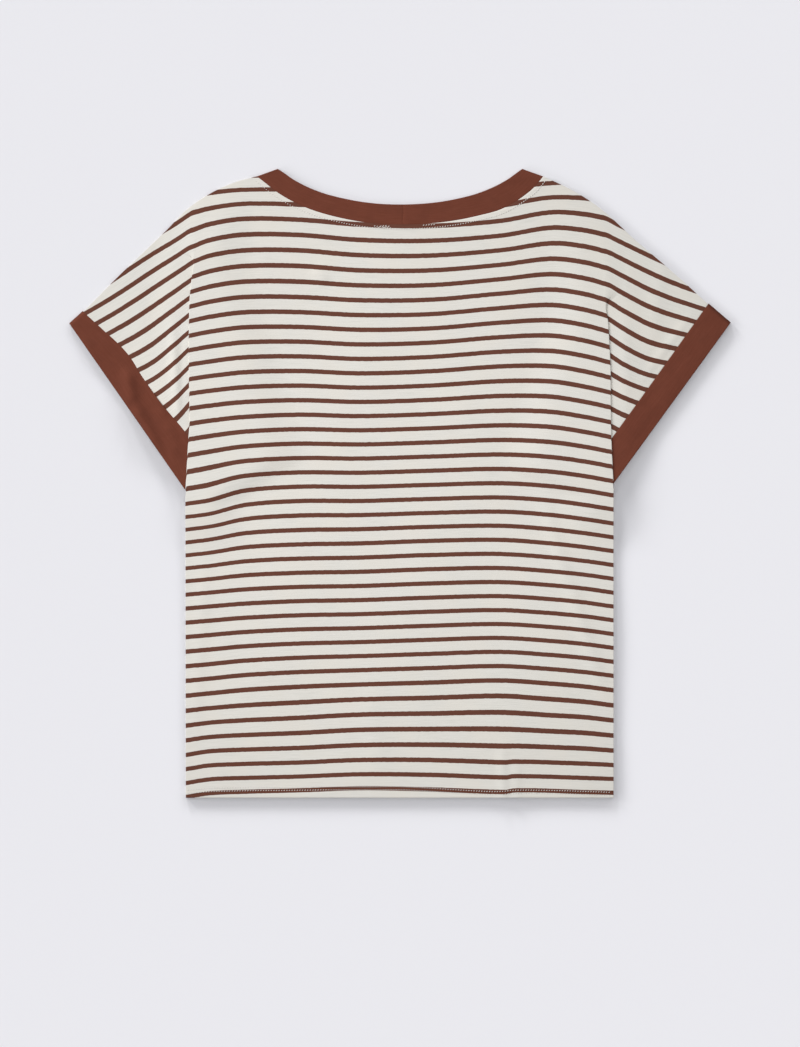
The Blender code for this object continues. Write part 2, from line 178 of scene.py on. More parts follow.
RIGHT = Side(
    name="right",
    sign=1,
    shoulder=((143.2, 7.5), (175.0, 23.0), (202.0, 41.0), (235.0, 71.0), (277.0, 107.0), (307.9, 135.2)),
    body_edge=(
        (30.0, 198.0), (101.0, 203.4), (123.0, 204.4), (134.0, 205.3), (143.0, 207.4), (150.0, 208.3),
        (173.5, 209.6), (196.0, 210.6), (261.0, 211.2), (281.0, 211.9), (314.3, 213.4),
    ),
    pleat_top=134.0,
    pleat_reach=160.0,
    underarm=314.3,
    cuff_tip=(330.0, 154.2),
    cuff_width=((0.0, 29.0), (0.5, 28.0), (1.0, 28.0)),
    hem_out=213.5,
)

# Rows and columns of the shells
BEND_STEPS = 5
MIDDLE_STEPS = 10
NECK_STEPS = 92
FOLD_STEPS = 6  # round the folded edge of a hem or band
END_STEPS = 8  # round a band's end
PLEAT_POINTS = 2 * BEND_STEPS + MIDDLE_STEPS - 1  # of a row, between body and sleeve
EDGE_STEPS = (0.0, 0.12, 0.35, 0.7, 1.2)  # distances from an edge that rolls in
EDGE_CLEAR = 1.4  # no other row or column comes nearer than this many times the last of them
# About how long the stretches are that rows and columns share out
ARM_LENGTH = 270.0
BODY_LENGTH = 308.0
SHOULDER_LENGTH = 68.0
SLEEVE_LENGTH = 90.0

# Knit courses: how far they lie above a level line, in mm, by drop and by place across
STRIPE_REPEAT = 14.3
STRIPE_WIDTH = 4.5
LAST_STRIPE = 620.0
SAG_ACROSS = (-212, -190, -155, -100, -40, 30, 100, 150, 185, 212)
BODY_SAG = {
    10: (-9, -10.5, -12.5, -13, -11.5, -11.5, -15, -19.5, -20.5, -20),
    40: (-3, -8.5, -13, -12, -8, -6.5, -11, -19, -17.5, -13),
    80: (3.5, -4.5, -9.5, -9.5, -5, -4.5, -9.5, -16, -13, -7),
    130: (4.5, -1, -5.5, -5.5, -2.5, -3, -9, -12.5, -8, -1),
    190: (5, 1.5, -2.5, -3.5, -1, -3, -8, -8.5, -3.5, 3),
    240: (6, 3, -0.5, -2.5, -1, -3, -6.5, -5.5, -0.5, 5),
    290: (10, 6.5, 1, -2, -1.5, -3.5, -5.5, -3, 1.5, 6.5),
    330: (15, 11.5, 2, -2, -2, -4, -5.5, -2.5, 2, 6.5),
    370: (11, 8, 1.5, -1.5, -2.5, -5, -6, -2.5, 1.5, 5.5),
    430: (5.5, 3.5, 0.5, -2, -3, -5.5, -7, -4, -0.5, 3.5),
    510: (6, 4, 0.5, -2.5, -4.5, -6.5, -8.5, -5.5, -2.5, 1),
    545: (7.5, 5, 2.5, 0, -3, -4, -5, -2.5, -0.5, 2.5),
    590: (8.5, 5, 3.5, 2, -0.5, -0.5, 1.5, 2, 3, 4.5),
    628: (7.5, 4, 2.5, 1, -1, 0.5, 3, 2, 3, 3.5),
}
# Beside the crease at the hem the stripes step up and then sink back
HemKink = namedtuple("HemKink", "across top step rise run")
HEM_KINK = HemKink(across=110.0, top=560.0, step=1.7, rise=9.0, run=60.0)
BODY_SAG_END = 216.0  # beyond this the pleat carries the course of the body's edge
ONTO_SLEEVE = 14.0  # beyond its fold, the courses turn from the body's to the sleeve's over this
ONTO_SLEEVE_ROWS = 0.15  # and, above the pleat, over this share of the way to its top
SLEEVE_SAG_OUT = (210, 225, 250, 290, 320)
SLEEVE_SAG = {
    "left": {
        40: (-3.5, 5.5, 18.5, 37, 57.5),
        90: (3.5, 12, 25, 47, 64),
        140: (11, 20.5, 34.5, 55, 70),
        190: (19, 30.5, 46, 62.5, 75.5),
        235: (29.5, 40.5, 53.5, 68, 81),
        270: (46, 53, 62, 73.5, 86),
    },
    "right": {
        40: (-12, -5, 5, 19.5, 35.5),
        90: (-6, 0.5, 11, 26.5, 37.5),
        140: (1, 8.5, 19, 31, 39.5),
        190: (10.5, 18.5, 28, 35, 42),
        235: (19, 25, 32, 38.5, 44.5),
        270: (25, 31.5, 37, 42.5, 47.5),
    },
}

# Soft creases of the back, as ridges (up) and troughs (down) between two points (across, drop)
Crease = namedtuple("Crease", "start end height width")
CREASE_FADE = 0.25  # of its length, over which a crease fades out to both sides of each end
CREASE_REACH = 3  # of its width, beyond which a crease isn't felt
BACK_CREASES = (
    Crease(start=(103.5, 642), end=(102.5, 582), height=1.1, width=4.8),
    Crease(start=(117, 642), end=(116, 596), height=0.8, width=5.0),
    Crease(start=(146, 336), end=(163, 402), height=0.9, width=7.0),
    Crease(start=(165, 402), end=(203, 524), height=1.2, width=7.5),
    Crease(start=(-84, 100), end=(-74, 112), height=1.1, width=7.0),
    Crease(start=(-205, 310), end=(-160, 372), height=0.6, width=9.0),
    Crease(start=(-196, 400), end=(-205, 560), height=0.6, width=7.0),
    Crease(start=(-30, 520), end=(-22, 600), height=0.5, width=10.0),
)
LEFT_SLEEVE_CREASES = (
    Crease(start=(-227, 165), end=(-220.5, 262), height=1.9, width=4.6),
    Crease(start=(-212.5, 160), end=(-213.5, 262), height=0.7, width=3.0),
    Crease(start=(-262, 120), end=(-248, 200), height=0.45, width=9.0),
)
RIGHT_SLEEVE_CREASES = (
    Crease(start=(224, 150), end=(225, 240), height=0.45, width=6.0),
    Crease(start=(262, 100), end=(250, 175), height=0.6, width=8.0),
    Crease(start=(288, 150), end=(246, 205), height=0.7, width=4.0),
)
CUFF_CREASES = (
    Crease(start=(-273, 204), end=(-268, 233), height=4.2, width=6.5),
    Crease(start=(-267, 235), end=(-242, 281), height=5.0, width=6.5),
    Crease(start=(-246, 214), end=(-236, 250), height=1.8, width=5.5),
    Crease(start=(-233, 255), end=(-222, 284), height=1.6, width=5.0),
    Crease(start=(-316, 172), end=(-302, 198), height=1.2, width=5.0),
    Crease(start=(308, 172), end=(250, 248), height=0.4, width=8.0),
    Crease(start=(270, 214), end=(232, 268), height=0.4, width=6.0),
)
# Broad swells of cloth that was smoothed by hand, with their wavelengths across and down
Swell = namedtuple("Swell", "height across down phase")
SWELLS = (
    Swell(height=0.16, across=131.0, down=410.0, phase=0.4),
    Swell(height=0.13, across=-177.0, down=151.0, phase=2.1),
    Swell(height=0.09, across=74.0, down=-203.0, phase=4.0),
)
# They fade out towards an edge, over the second distance from the first one beyond it
HEM_FADE = (4.0, 40.0)
NECK_FADE = (2.0, 30.0)
CUFF_FADE = (0.0, 20.0)
CREASE_CUFF_FADE = (0.0, 6.0)
CUFF_SLANT = 0.85  # from the distance along a row to that square to the cuff's seam


def smooth(share):
    """0 to 1 with level ends."""
    share = min(max(share, 0.0), 1.0)
    return share * share * (3 - 2 * share)


def mix(start, end, share):
    return start + (end - start) * share


def mix_point(start, end, share):
    return tuple(mix(a, b, share) for a, b in zip(start, end))


def unit(start, end):
    """Direction from one place to another, one mm long."""
    length = math.dist(start, end)
    return (end[0] - start[0]) / length, (end[1] - start[1]) / length


@lru_cache(maxsize=None)
def table_slopes(table):
    last = len(table) - 1
    return [
        (table[min(i + 1, last)][1] - table[max(i - 1, 0)][1])
        / (table[min(i + 1, last)][0] - table[max(i - 1, 0)][0])
        for i in range(last + 1)
    ]


def read_table(table, at):
    """A smooth curve through a table of (position, value) rows."""
    slopes = table_slopes(table)
    at = min(max(at, table[0][0]), table[-1][0])
    i = max(i for i in range(len(table) - 1) if table[i][0] <= at)
    (x0, y0), (x1, y1) = table[i], table[i + 1]
    width = x1 - x0
    s = (at - x0) / width
    rise = y0 * (1 + 2 * s) * (1 - s) ** 2 + y1 * s * s * (3 - 2 * s)
    return rise + width * (slopes[i] * s * (1 - s) ** 2 + slopes[i + 1] * s * s * (s - 1))


def neck_point(curve, share):
    """(across, drop) on a neck curve, share being -1 at the left tip and 1 at the right one."""
    return curve.half * share, curve.tip_drop + curve.depth * read_table(curve.shape, share)


def shoulder_drop(side, out):
    return read_table(side.shoulder, out)


def fold_out(side, drop):
    """Where the body's edge folds over the sleeve, at the cloth's middle."""
    return read_table(side.body_edge, drop) - FOLD_REACH


def top_drop(neck, across):
    """Drop of a panel's top edge: the neck seam, and the shoulders beside it."""
    if abs(across) <= NECK_HALF:
        return neck_point(neck, across / NECK_HALF)[1]
    return shoulder_drop(RIGHT if across > 0 else LEFT, abs(across))


@lru_cache(maxsize=None)
def shoulder_row_drop(side):
    """Drop of the shoulder where the body's fold starts."""
    return shoulder_drop(side, fold_out(side, side.body_edge[0][0]))


def pleat_share(row):
    """How far down from the pleat's top to the underarm a row lies."""
    return (row - PLEAT_TOP_ROW) / (1 - PLEAT_TOP_ROW)


def arm_drop(side, row):
    """Drop of the body's fold in a row between shoulder and underarm."""
    if row <= PLEAT_TOP_ROW:
        return mix(shoulder_row_drop(side), side.pleat_top, row / PLEAT_TOP_ROW)
    return mix(side.pleat_top, side.underarm, pleat_share(row))


def row_share(side, row):
    """How far down from the shoulder to the underarm a row lies."""
    top = shoulder_row_drop(side)
    return (arm_drop(side, row) - top) / (side.underarm - top)


def hidden_fold(side, share):
    """(out, drop) on the pleat's hidden fold, from its top to the underarm seam."""
    reach = side.pleat_reach * share
    top_out = fold_out(side, side.pleat_top)
    return top_out - reach * math.sin(PLEAT_ANGLE), side.pleat_top + reach * math.cos(PLEAT_ANGLE)


def growing_drop(side, row, out):
    """Drop of a row above the pleat's top, where it crosses the growing pleat."""
    return mix(shoulder_drop(side, out), side.pleat_top, row / PLEAT_TOP_ROW)


def turn_for(fall, bend, middle):
    """How far two bends turn to carry the cloth down by this fall, with a slope between them."""
    low, high = 0.0, math.pi / 2
    for _ in range(TURN_HALVINGS):
        turn = (low + high) / 2
        if 2 * bend * (1 - math.cos(turn)) / turn + middle * math.sin(turn) < fall:
            low = turn
        else:
            high = turn
    return (low + high) / 2


@lru_cache(maxsize=None)
def section(side, row):
    """One section across the pleat: steps (out, share from the body's fold to the hidden one, fall)
    from the body to the sleeve, and the whole fall."""
    share = min(row / PLEAT_TOP_ROW, 1.0)
    bend, middle = read_table(START_BEND, share), read_table(START_MIDDLE, share)
    turn = turn_for(read_table(START_FALL, share), bend, middle)
    reach = middle
    if row > PLEAT_TOP_ROW:
        down = pleat_share(row)
        closing = smooth(down / PLEAT_CLOSING)
        hidden_reach = fold_out(side, arm_drop(side, row)) - hidden_fold(side, down)[0]
        turn, middle = mix(turn, math.pi, closing), 0.0
        bend = turn * 2 * TURN / (1 - math.cos(turn))
        reach = mix(0.0, hidden_reach, closing)
    radius = bend / turn
    steps = []
    for i in range(BEND_STEPS + 1):
        angle = turn * i / BEND_STEPS
        steps.append((radius * math.sin(angle), 0.0, radius * (1 - math.cos(angle))))
    end_out, _, end_fall = steps[-1]
    fall = 2 * end_fall + middle * math.sin(turn)
    whole = 2 * end_out + reach * math.cos(turn)
    for i in range(1, MIDDLE_STEPS):
        share = i / MIDDLE_STEPS
        steps.append((mix(end_out, whole - end_out, share), share, mix(end_fall, fall - end_fall, share)))
    steps += [(whole - out, 1.0, fall - down) for out, _, down in reversed(steps[: BEND_STEPS + 1])]
    return steps, fall


def pleat_depth(side, drop):
    """How far in from the body's fold the hidden layers reach, with a margin below them."""
    margin = BELOW_PLEAT[0]
    hidden_out, hidden_end = hidden_fold(side, 1)
    if drop <= side.pleat_top:
        return 0.0
    if drop <= hidden_end:
        share = (drop - side.pleat_top) / (hidden_end - side.pleat_top)
        return fold_out(side, drop) - hidden_fold(side, share)[0]
    deepest = fold_out(side, hidden_end) - hidden_out
    above_underarm = (side.underarm + margin - drop) / (side.underarm - hidden_end)
    return deepest * min(max(above_underarm, 0.0), 1.0)


def slope_down(distance, margin_and_slope):
    margin, slope = margin_and_slope
    return 1 - smooth((distance - margin) / slope)


def body_lift(side, out, drop, row):
    """How far the pleat lifts the back's body, which lies over it."""
    fall = section(side, min(row, 1.0))[1]
    inside = body_side(side, drop) - out - pleat_depth(side, drop)
    below = slope_down(drop - side.underarm, BELOW_PLEAT)
    return 2 * fall * slope_down(inside, UNDER_BODY) * below


def sleeve_lift(side, out, drop, row):
    """How far the front's fold lifts the sleeve and cuff, which lie over it."""
    outside = out - read_table(side.body_edge, drop)
    return section(side, row)[1] * slope_down(outside, BESIDE_BODY)


def body_side(side, drop):
    """out of the body's side: its fold beside the sleeve, and its seam edge below the underarm."""
    if drop <= side.underarm:
        return fold_out(side, drop)
    straight = (drop - side.underarm) / (LENGTH - side.underarm)
    edge = mix(read_table(side.body_edge, side.underarm), side.hem_out, straight)
    return edge - FOLD_REACH * (1 - smooth((drop - side.underarm) / UNDERARM_EASE))


def cuff_outer(side, share):
    """(out, drop) on a cuff's outer edge, from its top fold to the underarm."""
    underarm = (read_table(side.body_edge, side.underarm), side.underarm)
    return mix_point(side.cuff_tip, underarm, share)


@lru_cache(maxsize=None)
def cuff_inwards(side):
    """Unit direction, in (out, drop), from a cuff's outer edge to its seam."""
    along_out, along_drop = unit(cuff_outer(side, 0), cuff_outer(side, 1))
    return -along_drop, along_out


def cuff_seam(side, share):
    """(out, drop) on the seam between sleeve and cuff."""
    out, drop = cuff_outer(side, share)
    in_out, in_drop = cuff_inwards(side)
    width = read_table(side.cuff_width, share)
    skew = CUFF_TOP_SKEW * (1 - share)
    return out + width * in_out - skew * in_drop, drop + width * in_drop + skew * in_out


def roll(distance, depth):
    """How far the cloth rolls in at this distance from its edge."""
    share = 1 - min(max(distance / ROLL, 0.0), 1.0)
    return depth * (1 - math.sqrt(1 - share * share))


def crease_height(creases, across, drop):
    """The creases' height at a place, each one fading towards and beyond its ends."""
    height = 0.0
    for crease in creases:
        (x0, y0), (x1, y1) = crease.start, crease.end
        length = math.hypot(x1 - x0, y1 - y0)
        along = ((across - x0) * (x1 - x0) + (drop - y0) * (y1 - y0)) / length**2
        aside = ((across - x0) * (y1 - y0) - (drop - y0) * (x1 - x0)) / length
        if abs(aside) < CREASE_REACH * crease.width:
            begun = smooth((along / CREASE_FADE + 1) / 2)
            left = smooth(((1 - along) / CREASE_FADE + 1) / 2)
            height += crease.height * begun * left * math.exp(-((aside / crease.width) ** 2))
    return height


def swell_height(across, drop):
    return sum(s.height * math.sin(math.tau * (across / s.across + drop / s.down) + s.phase) for s in SWELLS)


def fade(distance, beyond_and_width):
    """How much of a swell or crease is left at this distance from an edge."""
    beyond, width = beyond_and_width
    return smooth((distance + beyond) / width)


def neck_direction(neck, share):
    """Unit (run, fall) of a neck curve, towards the right."""
    return unit(neck_point(neck, share - NECK_NEAR), neck_point(neck, share + NECK_NEAR))


def neck_distance(neck, across, drop):
    """Roughly how far below the neck seam a place lies, square to the seam."""
    if abs(across) > NECK_HALF:
        return math.inf
    share = across / NECK_HALF
    return (drop - neck_point(neck, share)[1]) * neck_direction(neck, share)[0]


# inwards is the way in, up or down. creases are those of body, left sleeve and right sleeve, swell says
# how much the cloth swells, and proud how far its stitches stand out, in radii of the thread.
Panel = namedtuple("Panel", "name neck rise inwards creases swell proud")
BACK = Panel(
    name="back",
    neck=BACK_NECK_SEAM,
    rise=BACK_RISE,
    inwards=-1,
    creases=(BACK_CREASES, LEFT_SLEEVE_CREASES, RIGHT_SLEEVE_CREASES),
    swell=1.0,
    proud=0.5,
)
FRONT = Panel(
    name="front",
    neck=FRONT_NECK_SEAM,
    rise=FRONT_RISE,
    inwards=1,
    creases=((), (), ()),
    swell=0.0,
    proud=-0.8,
)


def stitch_dip(distance, width):
    """How far a row of stitches pulls the cloth in at this distance from it."""
    return STITCH_DIP * math.exp(-((distance / width) ** 2))


def sewn_relief(panel, across, drop):
    """How the seam allowances and rows of stitches shape the cloth, outwards from it."""
    beside_neck = neck_distance(panel.neck, across, drop)
    seam_slope, stitch_slope = NECK_SLOPES
    over_neck = smooth(beside_neck / seam_slope) * (1 - smooth((beside_neck - NECK_STITCH) / stitch_slope))
    over_hem = smooth((drop - LENGTH + HEM_DEPTH) / HEM_SLOPE + 0.5)
    relief = NECK_RELIEF * over_neck + HEM_RELIEF * over_hem
    relief -= stitch_dip(beside_neck - NECK_STITCH, NECK_DIP_WIDTH)
    for above in HEM_ROWS:
        relief -= stitch_dip(drop - read_table(HEM_LINE, across) + above, HEM_DIP_WIDTH)
    return relief


def body_rise(panel, across, drop, row):
    """Rise of a panel's body at a place, at the cloth's middle."""
    side = RIGHT if across > 0 else LEFT
    out, below_top = abs(across), drop - top_drop(panel.neck, across)
    rise = panel.rise + crease_height(panel.creases[0], across, drop)
    if panel is BACK:
        rise += body_lift(side, out, drop, row) + sewn_relief(panel, across, drop)
    swell = panel.swell * fade(LENGTH - drop, HEM_FADE) * fade(below_top, NECK_FADE)
    seam_share = smooth((drop - side.underarm) / UNDERARM_EASE)
    seam_edge = seam_share * roll(body_side(side, drop) - out, OUTLINE_ROLL)
    edge = max(roll(below_top, OUTLINE_ROLL), seam_edge)
    return rise + swell * swell_height(across, drop) + panel.inwards * edge


def sag_weights(nodes, at):
    """Weights of a table's values for smooth reading at many places, straight on beyond its ends."""
    nodes, place = np.asarray(nodes, float), at
    at = np.clip(place, nodes[0], nodes[-1])
    i = np.clip(np.searchsorted(nodes, at, side="right") - 1, 0, len(nodes) - 2)
    width = nodes[i + 1] - nodes[i]
    s = (at - nodes[i]) / width
    weights = np.zeros((len(at), len(nodes)))
    rows = np.arange(len(at))
    weights[rows, i] += (1 + 2 * s) * (1 - s) ** 2
    weights[rows, i + 1] += s * s * (3 - 2 * s)
    end = np.where(place < at, 0, len(nodes) - 1)
    for node, slope in ((i, width * s * (1 - s) ** 2), (i + 1, width * s * s * (s - 1)), (end, place - at)):
        before, after = np.maximum(node - 1, 0), np.minimum(node + 1, len(nodes) - 1)
        share = slope / (nodes[after] - nodes[before])
        np.add.at(weights, (rows, after), share)
        np.add.at(weights, (rows, before), -share)
    return weights


def courses(table, stations, place, drop):
    """Height of the knit's course above the last stripe, at many places."""
    across = sag_weights(stations, place)
    down = sag_weights(list(table), drop)
    sag = np.einsum("nd,na,da->n", down, across, np.array(list(table.values()), float))
    return LAST_STRIPE - drop + sag


def hem_kink(across, drop):
    """How much further up the hem's crease carries the courses, at many places."""
    beside = across - HEM_KINK.across
    up = np.clip(beside / HEM_KINK.rise + 0.5, 0, 1)
    down = np.clip(beside / HEM_KINK.run, 0, 1)
    below = np.clip((drop - HEM_KINK.top) / (LENGTH - HEM_KINK.top), 0, 1)
    return -HEM_KINK.step * (up * up * (3 - 2 * up) - down * down * (3 - 2 * down)) * below


def spaced(start, end, step):
    """Evenly spaced places from start up to but without end."""
    count = max(round((end - start) / step), 1)
    return [mix(start, end, i / count) for i in range(count)]


def edge_first(places, length, at_end=False):
    """Places along a stretch of this length, with a rolled edge's fine steps at its start or end."""
    steps = [step / length for step in EDGE_STEPS]
    clear = steps[-1] * EDGE_CLEAR
    if at_end:
        before = [place for place in places if place < places[-1] - clear]
        return before + [places[-1] - step for step in reversed(steps)]
    after = [place for place in places if place > places[0] + clear]
    return [places[0] + step for step in steps] + after


# Rows lie closest where the pleats start, just below the underarms and at the hem's stitches
PLEAT_START_ROW, PLEAT_GROWN_ROW = 0.6 * PLEAT_TOP_ROW, 1.25 * PLEAT_TOP_ROW
SHOULDER_ROW_STEP, START_ROW_STEP, SLEEVE_ROW_STEP = 0.012, 0.008, 0.0125
ARM_ROWS = edge_first(
    spaced(0, PLEAT_START_ROW, SHOULDER_ROW_STEP)
    + spaced(PLEAT_START_ROW, PLEAT_GROWN_ROW, START_ROW_STEP)
    + spaced(PLEAT_GROWN_ROW, 1, SLEEVE_ROW_STEP)
    + [1.0],
    ARM_LENGTH,
)
UNDERARM_ROWS = [1.004, 1.008, 1.013, 1.019, 1.025]
BODY_TOP_ROW, HEM_TOP_ROW, HEM_LAST_ROW = 1.033, 1.94, 2 - LAYER_HALF / BODY_LENGTH
BODY_ROW_STEP, HEM_ROW_STEP = 0.0105, 0.0036
LOWER_ROWS = (
    UNDERARM_ROWS
    + spaced(BODY_TOP_ROW, HEM_TOP_ROW, BODY_ROW_STEP)
    + spaced(HEM_TOP_ROW, HEM_LAST_ROW, HEM_ROW_STEP)
    + [HEM_LAST_ROW]
)
HEM_FOLD = [math.pi * i / FOLD_STEPS for i in range(1, FOLD_STEPS + 1)]
HEM_INSIDE = (1.0, 2.5, 5.0, 8.0, HEM_DEPTH)
# Columns beside the neck and over a sleeve
SHOULDER_STEP, SLEEVE_STEP = 0.047, 0.031
SHOULDER_SHARES = edge_first(spaced(0, 1, SHOULDER_STEP) + [1.0], SHOULDER_LENGTH, at_end=True)[1:]
SLEEVE_SHARES = edge_first(spaced(0, 1, SLEEVE_STEP) + [1.0], SLEEVE_LENGTH, at_end=True)


def body_columns(row):
    """Across positions of the body's columns in a row."""
    left_drop, right_drop = (
        arm_drop(side, row) if row <= 1 else mix(side.underarm, LENGTH, row - 1) for side in (LEFT, RIGHT)
    )
    left, right = body_side(LEFT, left_drop), body_side(RIGHT, right_drop)
    neck = [NECK_HALF * (2 * i / NECK_STEPS - 1) for i in range(NECK_STEPS + 1)]
    return (
        [-mix(NECK_HALF, left, share) for share in reversed(SHOULDER_SHARES)]
        + neck
        + [mix(NECK_HALF, right, share) for share in SHOULDER_SHARES]
    )


def body_row(panel, row):
    """(across, drop, rise) of the body's points in a row, from the left to the right."""
    columns = body_columns(row)
    points = []
    for across in columns:
        to_right = (across - columns[0]) / (columns[-1] - columns[0])
        underarm = mix(LEFT.underarm, RIGHT.underarm, to_right)
        if row <= 1:
            share = mix(row_share(LEFT, row), row_share(RIGHT, row), to_right)
            drop = mix(top_drop(panel.neck, across), underarm, share)
        else:
            drop = mix(underarm, LENGTH, row - 1)
        points.append((across, drop, body_rise(panel, across, drop, row)))
    return points


@lru_cache(maxsize=None)
def shoulder_span(side):
    """out of the sleeve's first and last points along the shoulder."""
    steps, _ = section(side, 0.0)
    return fold_out(side, arm_drop(side, 0.0)) + steps[-1][0], cuff_seam(side, 0)[0]


def sleeve_row(side, row):
    """(out, drop) of a sleeve's points in a row, from the hidden fold to the cuff seam."""
    steps, _ = section(side, row)
    out = fold_out(side, arm_drop(side, row)) + steps[-1][0]
    growing = row <= PLEAT_TOP_ROW
    start = (out, growing_drop(side, row, out) if growing else hidden_fold(side, pleat_share(row))[1])
    down = row_share(side, row)
    end = cuff_seam(side, down)
    top_start, top_end = shoulder_span(side)
    points = []
    for share in SLEEVE_SHARES:
        out, drop = mix_point(start, end, share)
        top_out = mix(top_start, top_end, share)
        straight = mix(shoulder_drop(side, top_start), shoulder_drop(side, top_end), share)
        points.append((out, drop + (shoulder_drop(side, top_out) - straight) * (1 - down)))
    return points


def arm_row(panel, side, row, fold):
    """(across, drop, rise) of the pleat's and the sleeve's points in a row, outwards from the body."""
    steps, _ = section(side, row)
    out, drop, rise = abs(fold[0]), fold[1], fold[2]
    sleeve = sleeve_row(side, row)
    growing = row <= PLEAT_TOP_ROW
    points = []
    for step_out, share, fall in steps[1:-1]:
        step_drop = growing_drop(side, row, out + step_out) if growing else mix(drop, sleeve[0][1], share)
        points.append((out + step_out, step_drop, rise + panel.inwards * fall))
    creases = panel.creases[1 if side is LEFT else 2]
    seam, down = sleeve[-1], row_share(side, row)
    for (out, drop), share in zip(sleeve, SLEEVE_SHARES):
        across, seam_distance = side.sign * out, math.dist((out, drop), seam) * CUFF_SLANT
        top_distance = down * (side.underarm - shoulder_drop(side, mix(*shoulder_span(side), share)))
        edge = max(roll(seam_distance, SEAM_ROLL), roll(top_distance, OUTLINE_ROLL))
        relief = panel.swell * swell_height(across, drop) * fade(seam_distance, CUFF_FADE)
        relief = (relief + crease_height(creases, across, drop)) * fade(seam_distance, CREASE_CUFF_FADE)
        rise = panel.rise + sleeve_lift(side, out, drop, row) + relief + panel.inwards * edge
        points.append((out, drop, rise))
    return [(side.sign * out, drop, rise) for out, drop, rise in points]


def hem_rows(panel, last):
    """Rows of the turned hem: round its fold and up its inside."""
    turns = [(LENGTH - LAYER_HALF * (1 - math.sin(a)), LAYER_HALF * (1 - math.cos(a))) for a in HEM_FOLD]
    turns += [(LENGTH - LAYER_HALF - depth, LAYER_PITCH) for depth in HEM_INSIDE]
    return [[(across, drop, rise + panel.inwards * dip) for across, _, rise in last] for drop, dip in turns]


def arm_knit(side, row, place, body_course):
    """The knit's wales and courses over a pleat and sleeve, at a row's places outwards from the body."""
    out, drop = np.abs(place[:, 0]), place[:, 1]
    fold = fold_out(side, arm_drop(side, row))
    sleeve = courses(SLEEVE_SAG[side.name], SLEEVE_SAG_OUT, out, drop)
    body = courses(BODY_SAG, SAG_ACROSS, side.sign * np.minimum(out, BODY_SAG_END), drop)
    beyond_fold = np.clip((out - fold) / ONTO_SLEEVE, 0, 1)
    near_top = smooth((row / PLEAT_TOP_ROW - 1) / ONTO_SLEEVE_ROWS + 1)
    course = mix(body, sleeve, np.maximum(beyond_fold * beyond_fold * (3 - 2 * beyond_fold), near_top))
    if row > PLEAT_TOP_ROW:
        course[:PLEAT_POINTS] = np.linspace(body_course, course[PLEAT_POINTS], PLEAT_POINTS + 2)[1:-1]
    return side.sign * np.maximum(out, fold), course


def knit_of(rows):
    """The knit's own (wale, course) at every point of a panel, in mm."""
    knit = []
    arm = PLEAT_POINTS + len(SLEEVE_SHARES)
    for number, row in enumerate(rows):
        place = np.array(row)
        across, drop, wale = place[:, 0], place[:, 1], place[:, 0].copy()
        hem_inside = number >= len(ARM_ROWS) + len(LOWER_ROWS)
        course = courses(BODY_SAG, SAG_ACROSS, across, 2 * LENGTH - drop if hem_inside else drop)
        course += hem_kink(across, drop)
        if number < len(ARM_ROWS):
            left, right = slice(arm - 1, None, -1), slice(len(row) - arm, None)
            edges = course[arm], course[len(row) - arm - 1]
            for side, order, edge in zip((LEFT, RIGHT), (left, right), edges):
                wale[order], course[order] = arm_knit(side, ARM_ROWS[number], place[order], edge)
        knit.append(np.stack([wale, course], 1))
    return knit


def cloth_mesh(name, rows, knit, thickness, ring=False):
    """A shell through the rows' points. Rows below a panel's arms hold only its body, and a ring's
    last row joins its first one."""
    starts = np.cumsum([0] + [len(row) for row in rows])
    points = np.concatenate([np.array(row, float) for row in rows])
    points[:, 1] = LENGTH / 2 - points[:, 1]
    faces = []
    pairs = [(i, i + 1) for i in range(len(rows) - 1)] + ([(len(rows) - 1, 0)] if ring else [])
    for upper, lower in pairs:
        skipped = (len(rows[upper]) - len(rows[lower])) // 2
        for i in range(len(rows[lower]) - 1):
            a, b = starts[upper] + skipped + i, starts[lower] + i
            faces.append((a, b, b + 1, a + 1))
    mesh = bpy.data.meshes.new(name)
    mesh.from_pydata((points * MM).tolist(), [], faces)
    flat = np.zeros((len(points), 3), np.float32)
    flat[:, :2] = np.concatenate(knit)
    mesh.attributes.new("knit", "FLOAT_VECTOR", "POINT").data.foreach_set("vector", flat.ravel())
    mesh.shade_smooth()
    shell = bpy.data.objects.new(name, mesh)
    bpy.context.scene.collection.objects.link(shell)
    solid = shell.modifiers.new("jersey", "SOLIDIFY")
    solid.thickness = thickness
    solid.offset = 0.0
    return shell


def panel_rows(panel):
    rows = []
    for row in ARM_ROWS:
        body = body_row(panel, row)
        left = arm_row(panel, LEFT, row, body[0])
        right = arm_row(panel, RIGHT, row, body[-1])
        rows.append(left[::-1] + body + right)
    rows += [body_row(panel, row) for row in LOWER_ROWS]
    return rows + hem_rows(panel, rows[-1])


BAND_STEP, BAND_INSIDE_STEP = 2.8, 5.0
BAND_FOLD_MARGIN = 1.0  # from the folded edge to the last step over the outside
BAND_INSIDE_MARGINS = (1.5, 0.3)  # inside, beside the fold and the seam


def band_section(width):
    """A doubled band's points, from its seam over the fold to the inside: (distance from the folded
    edge, offset from the band's middle)."""
    last = width - BAND_FOLD_MARGIN
    outside = list(EDGE_STEPS) + spaced(2 * EDGE_STEPS[-1], last, BAND_STEP) + [last]
    points = [(width - from_seam, LAYER_HALF - roll(from_seam, SEAM_ROLL)) for from_seam in outside]
    for i in range(FOLD_STEPS + 1):
        angle = math.pi * i / FOLD_STEPS
        points.append((LAYER_HALF * (1 - math.sin(angle)), LAYER_HALF * math.cos(angle)))
    first, last = BAND_INSIDE_MARGINS[0], width - BAND_INSIDE_MARGINS[1]
    return points + [(at, -LAYER_HALF) for at in spaced(first, last, BAND_INSIDE_STEP) + [last]]


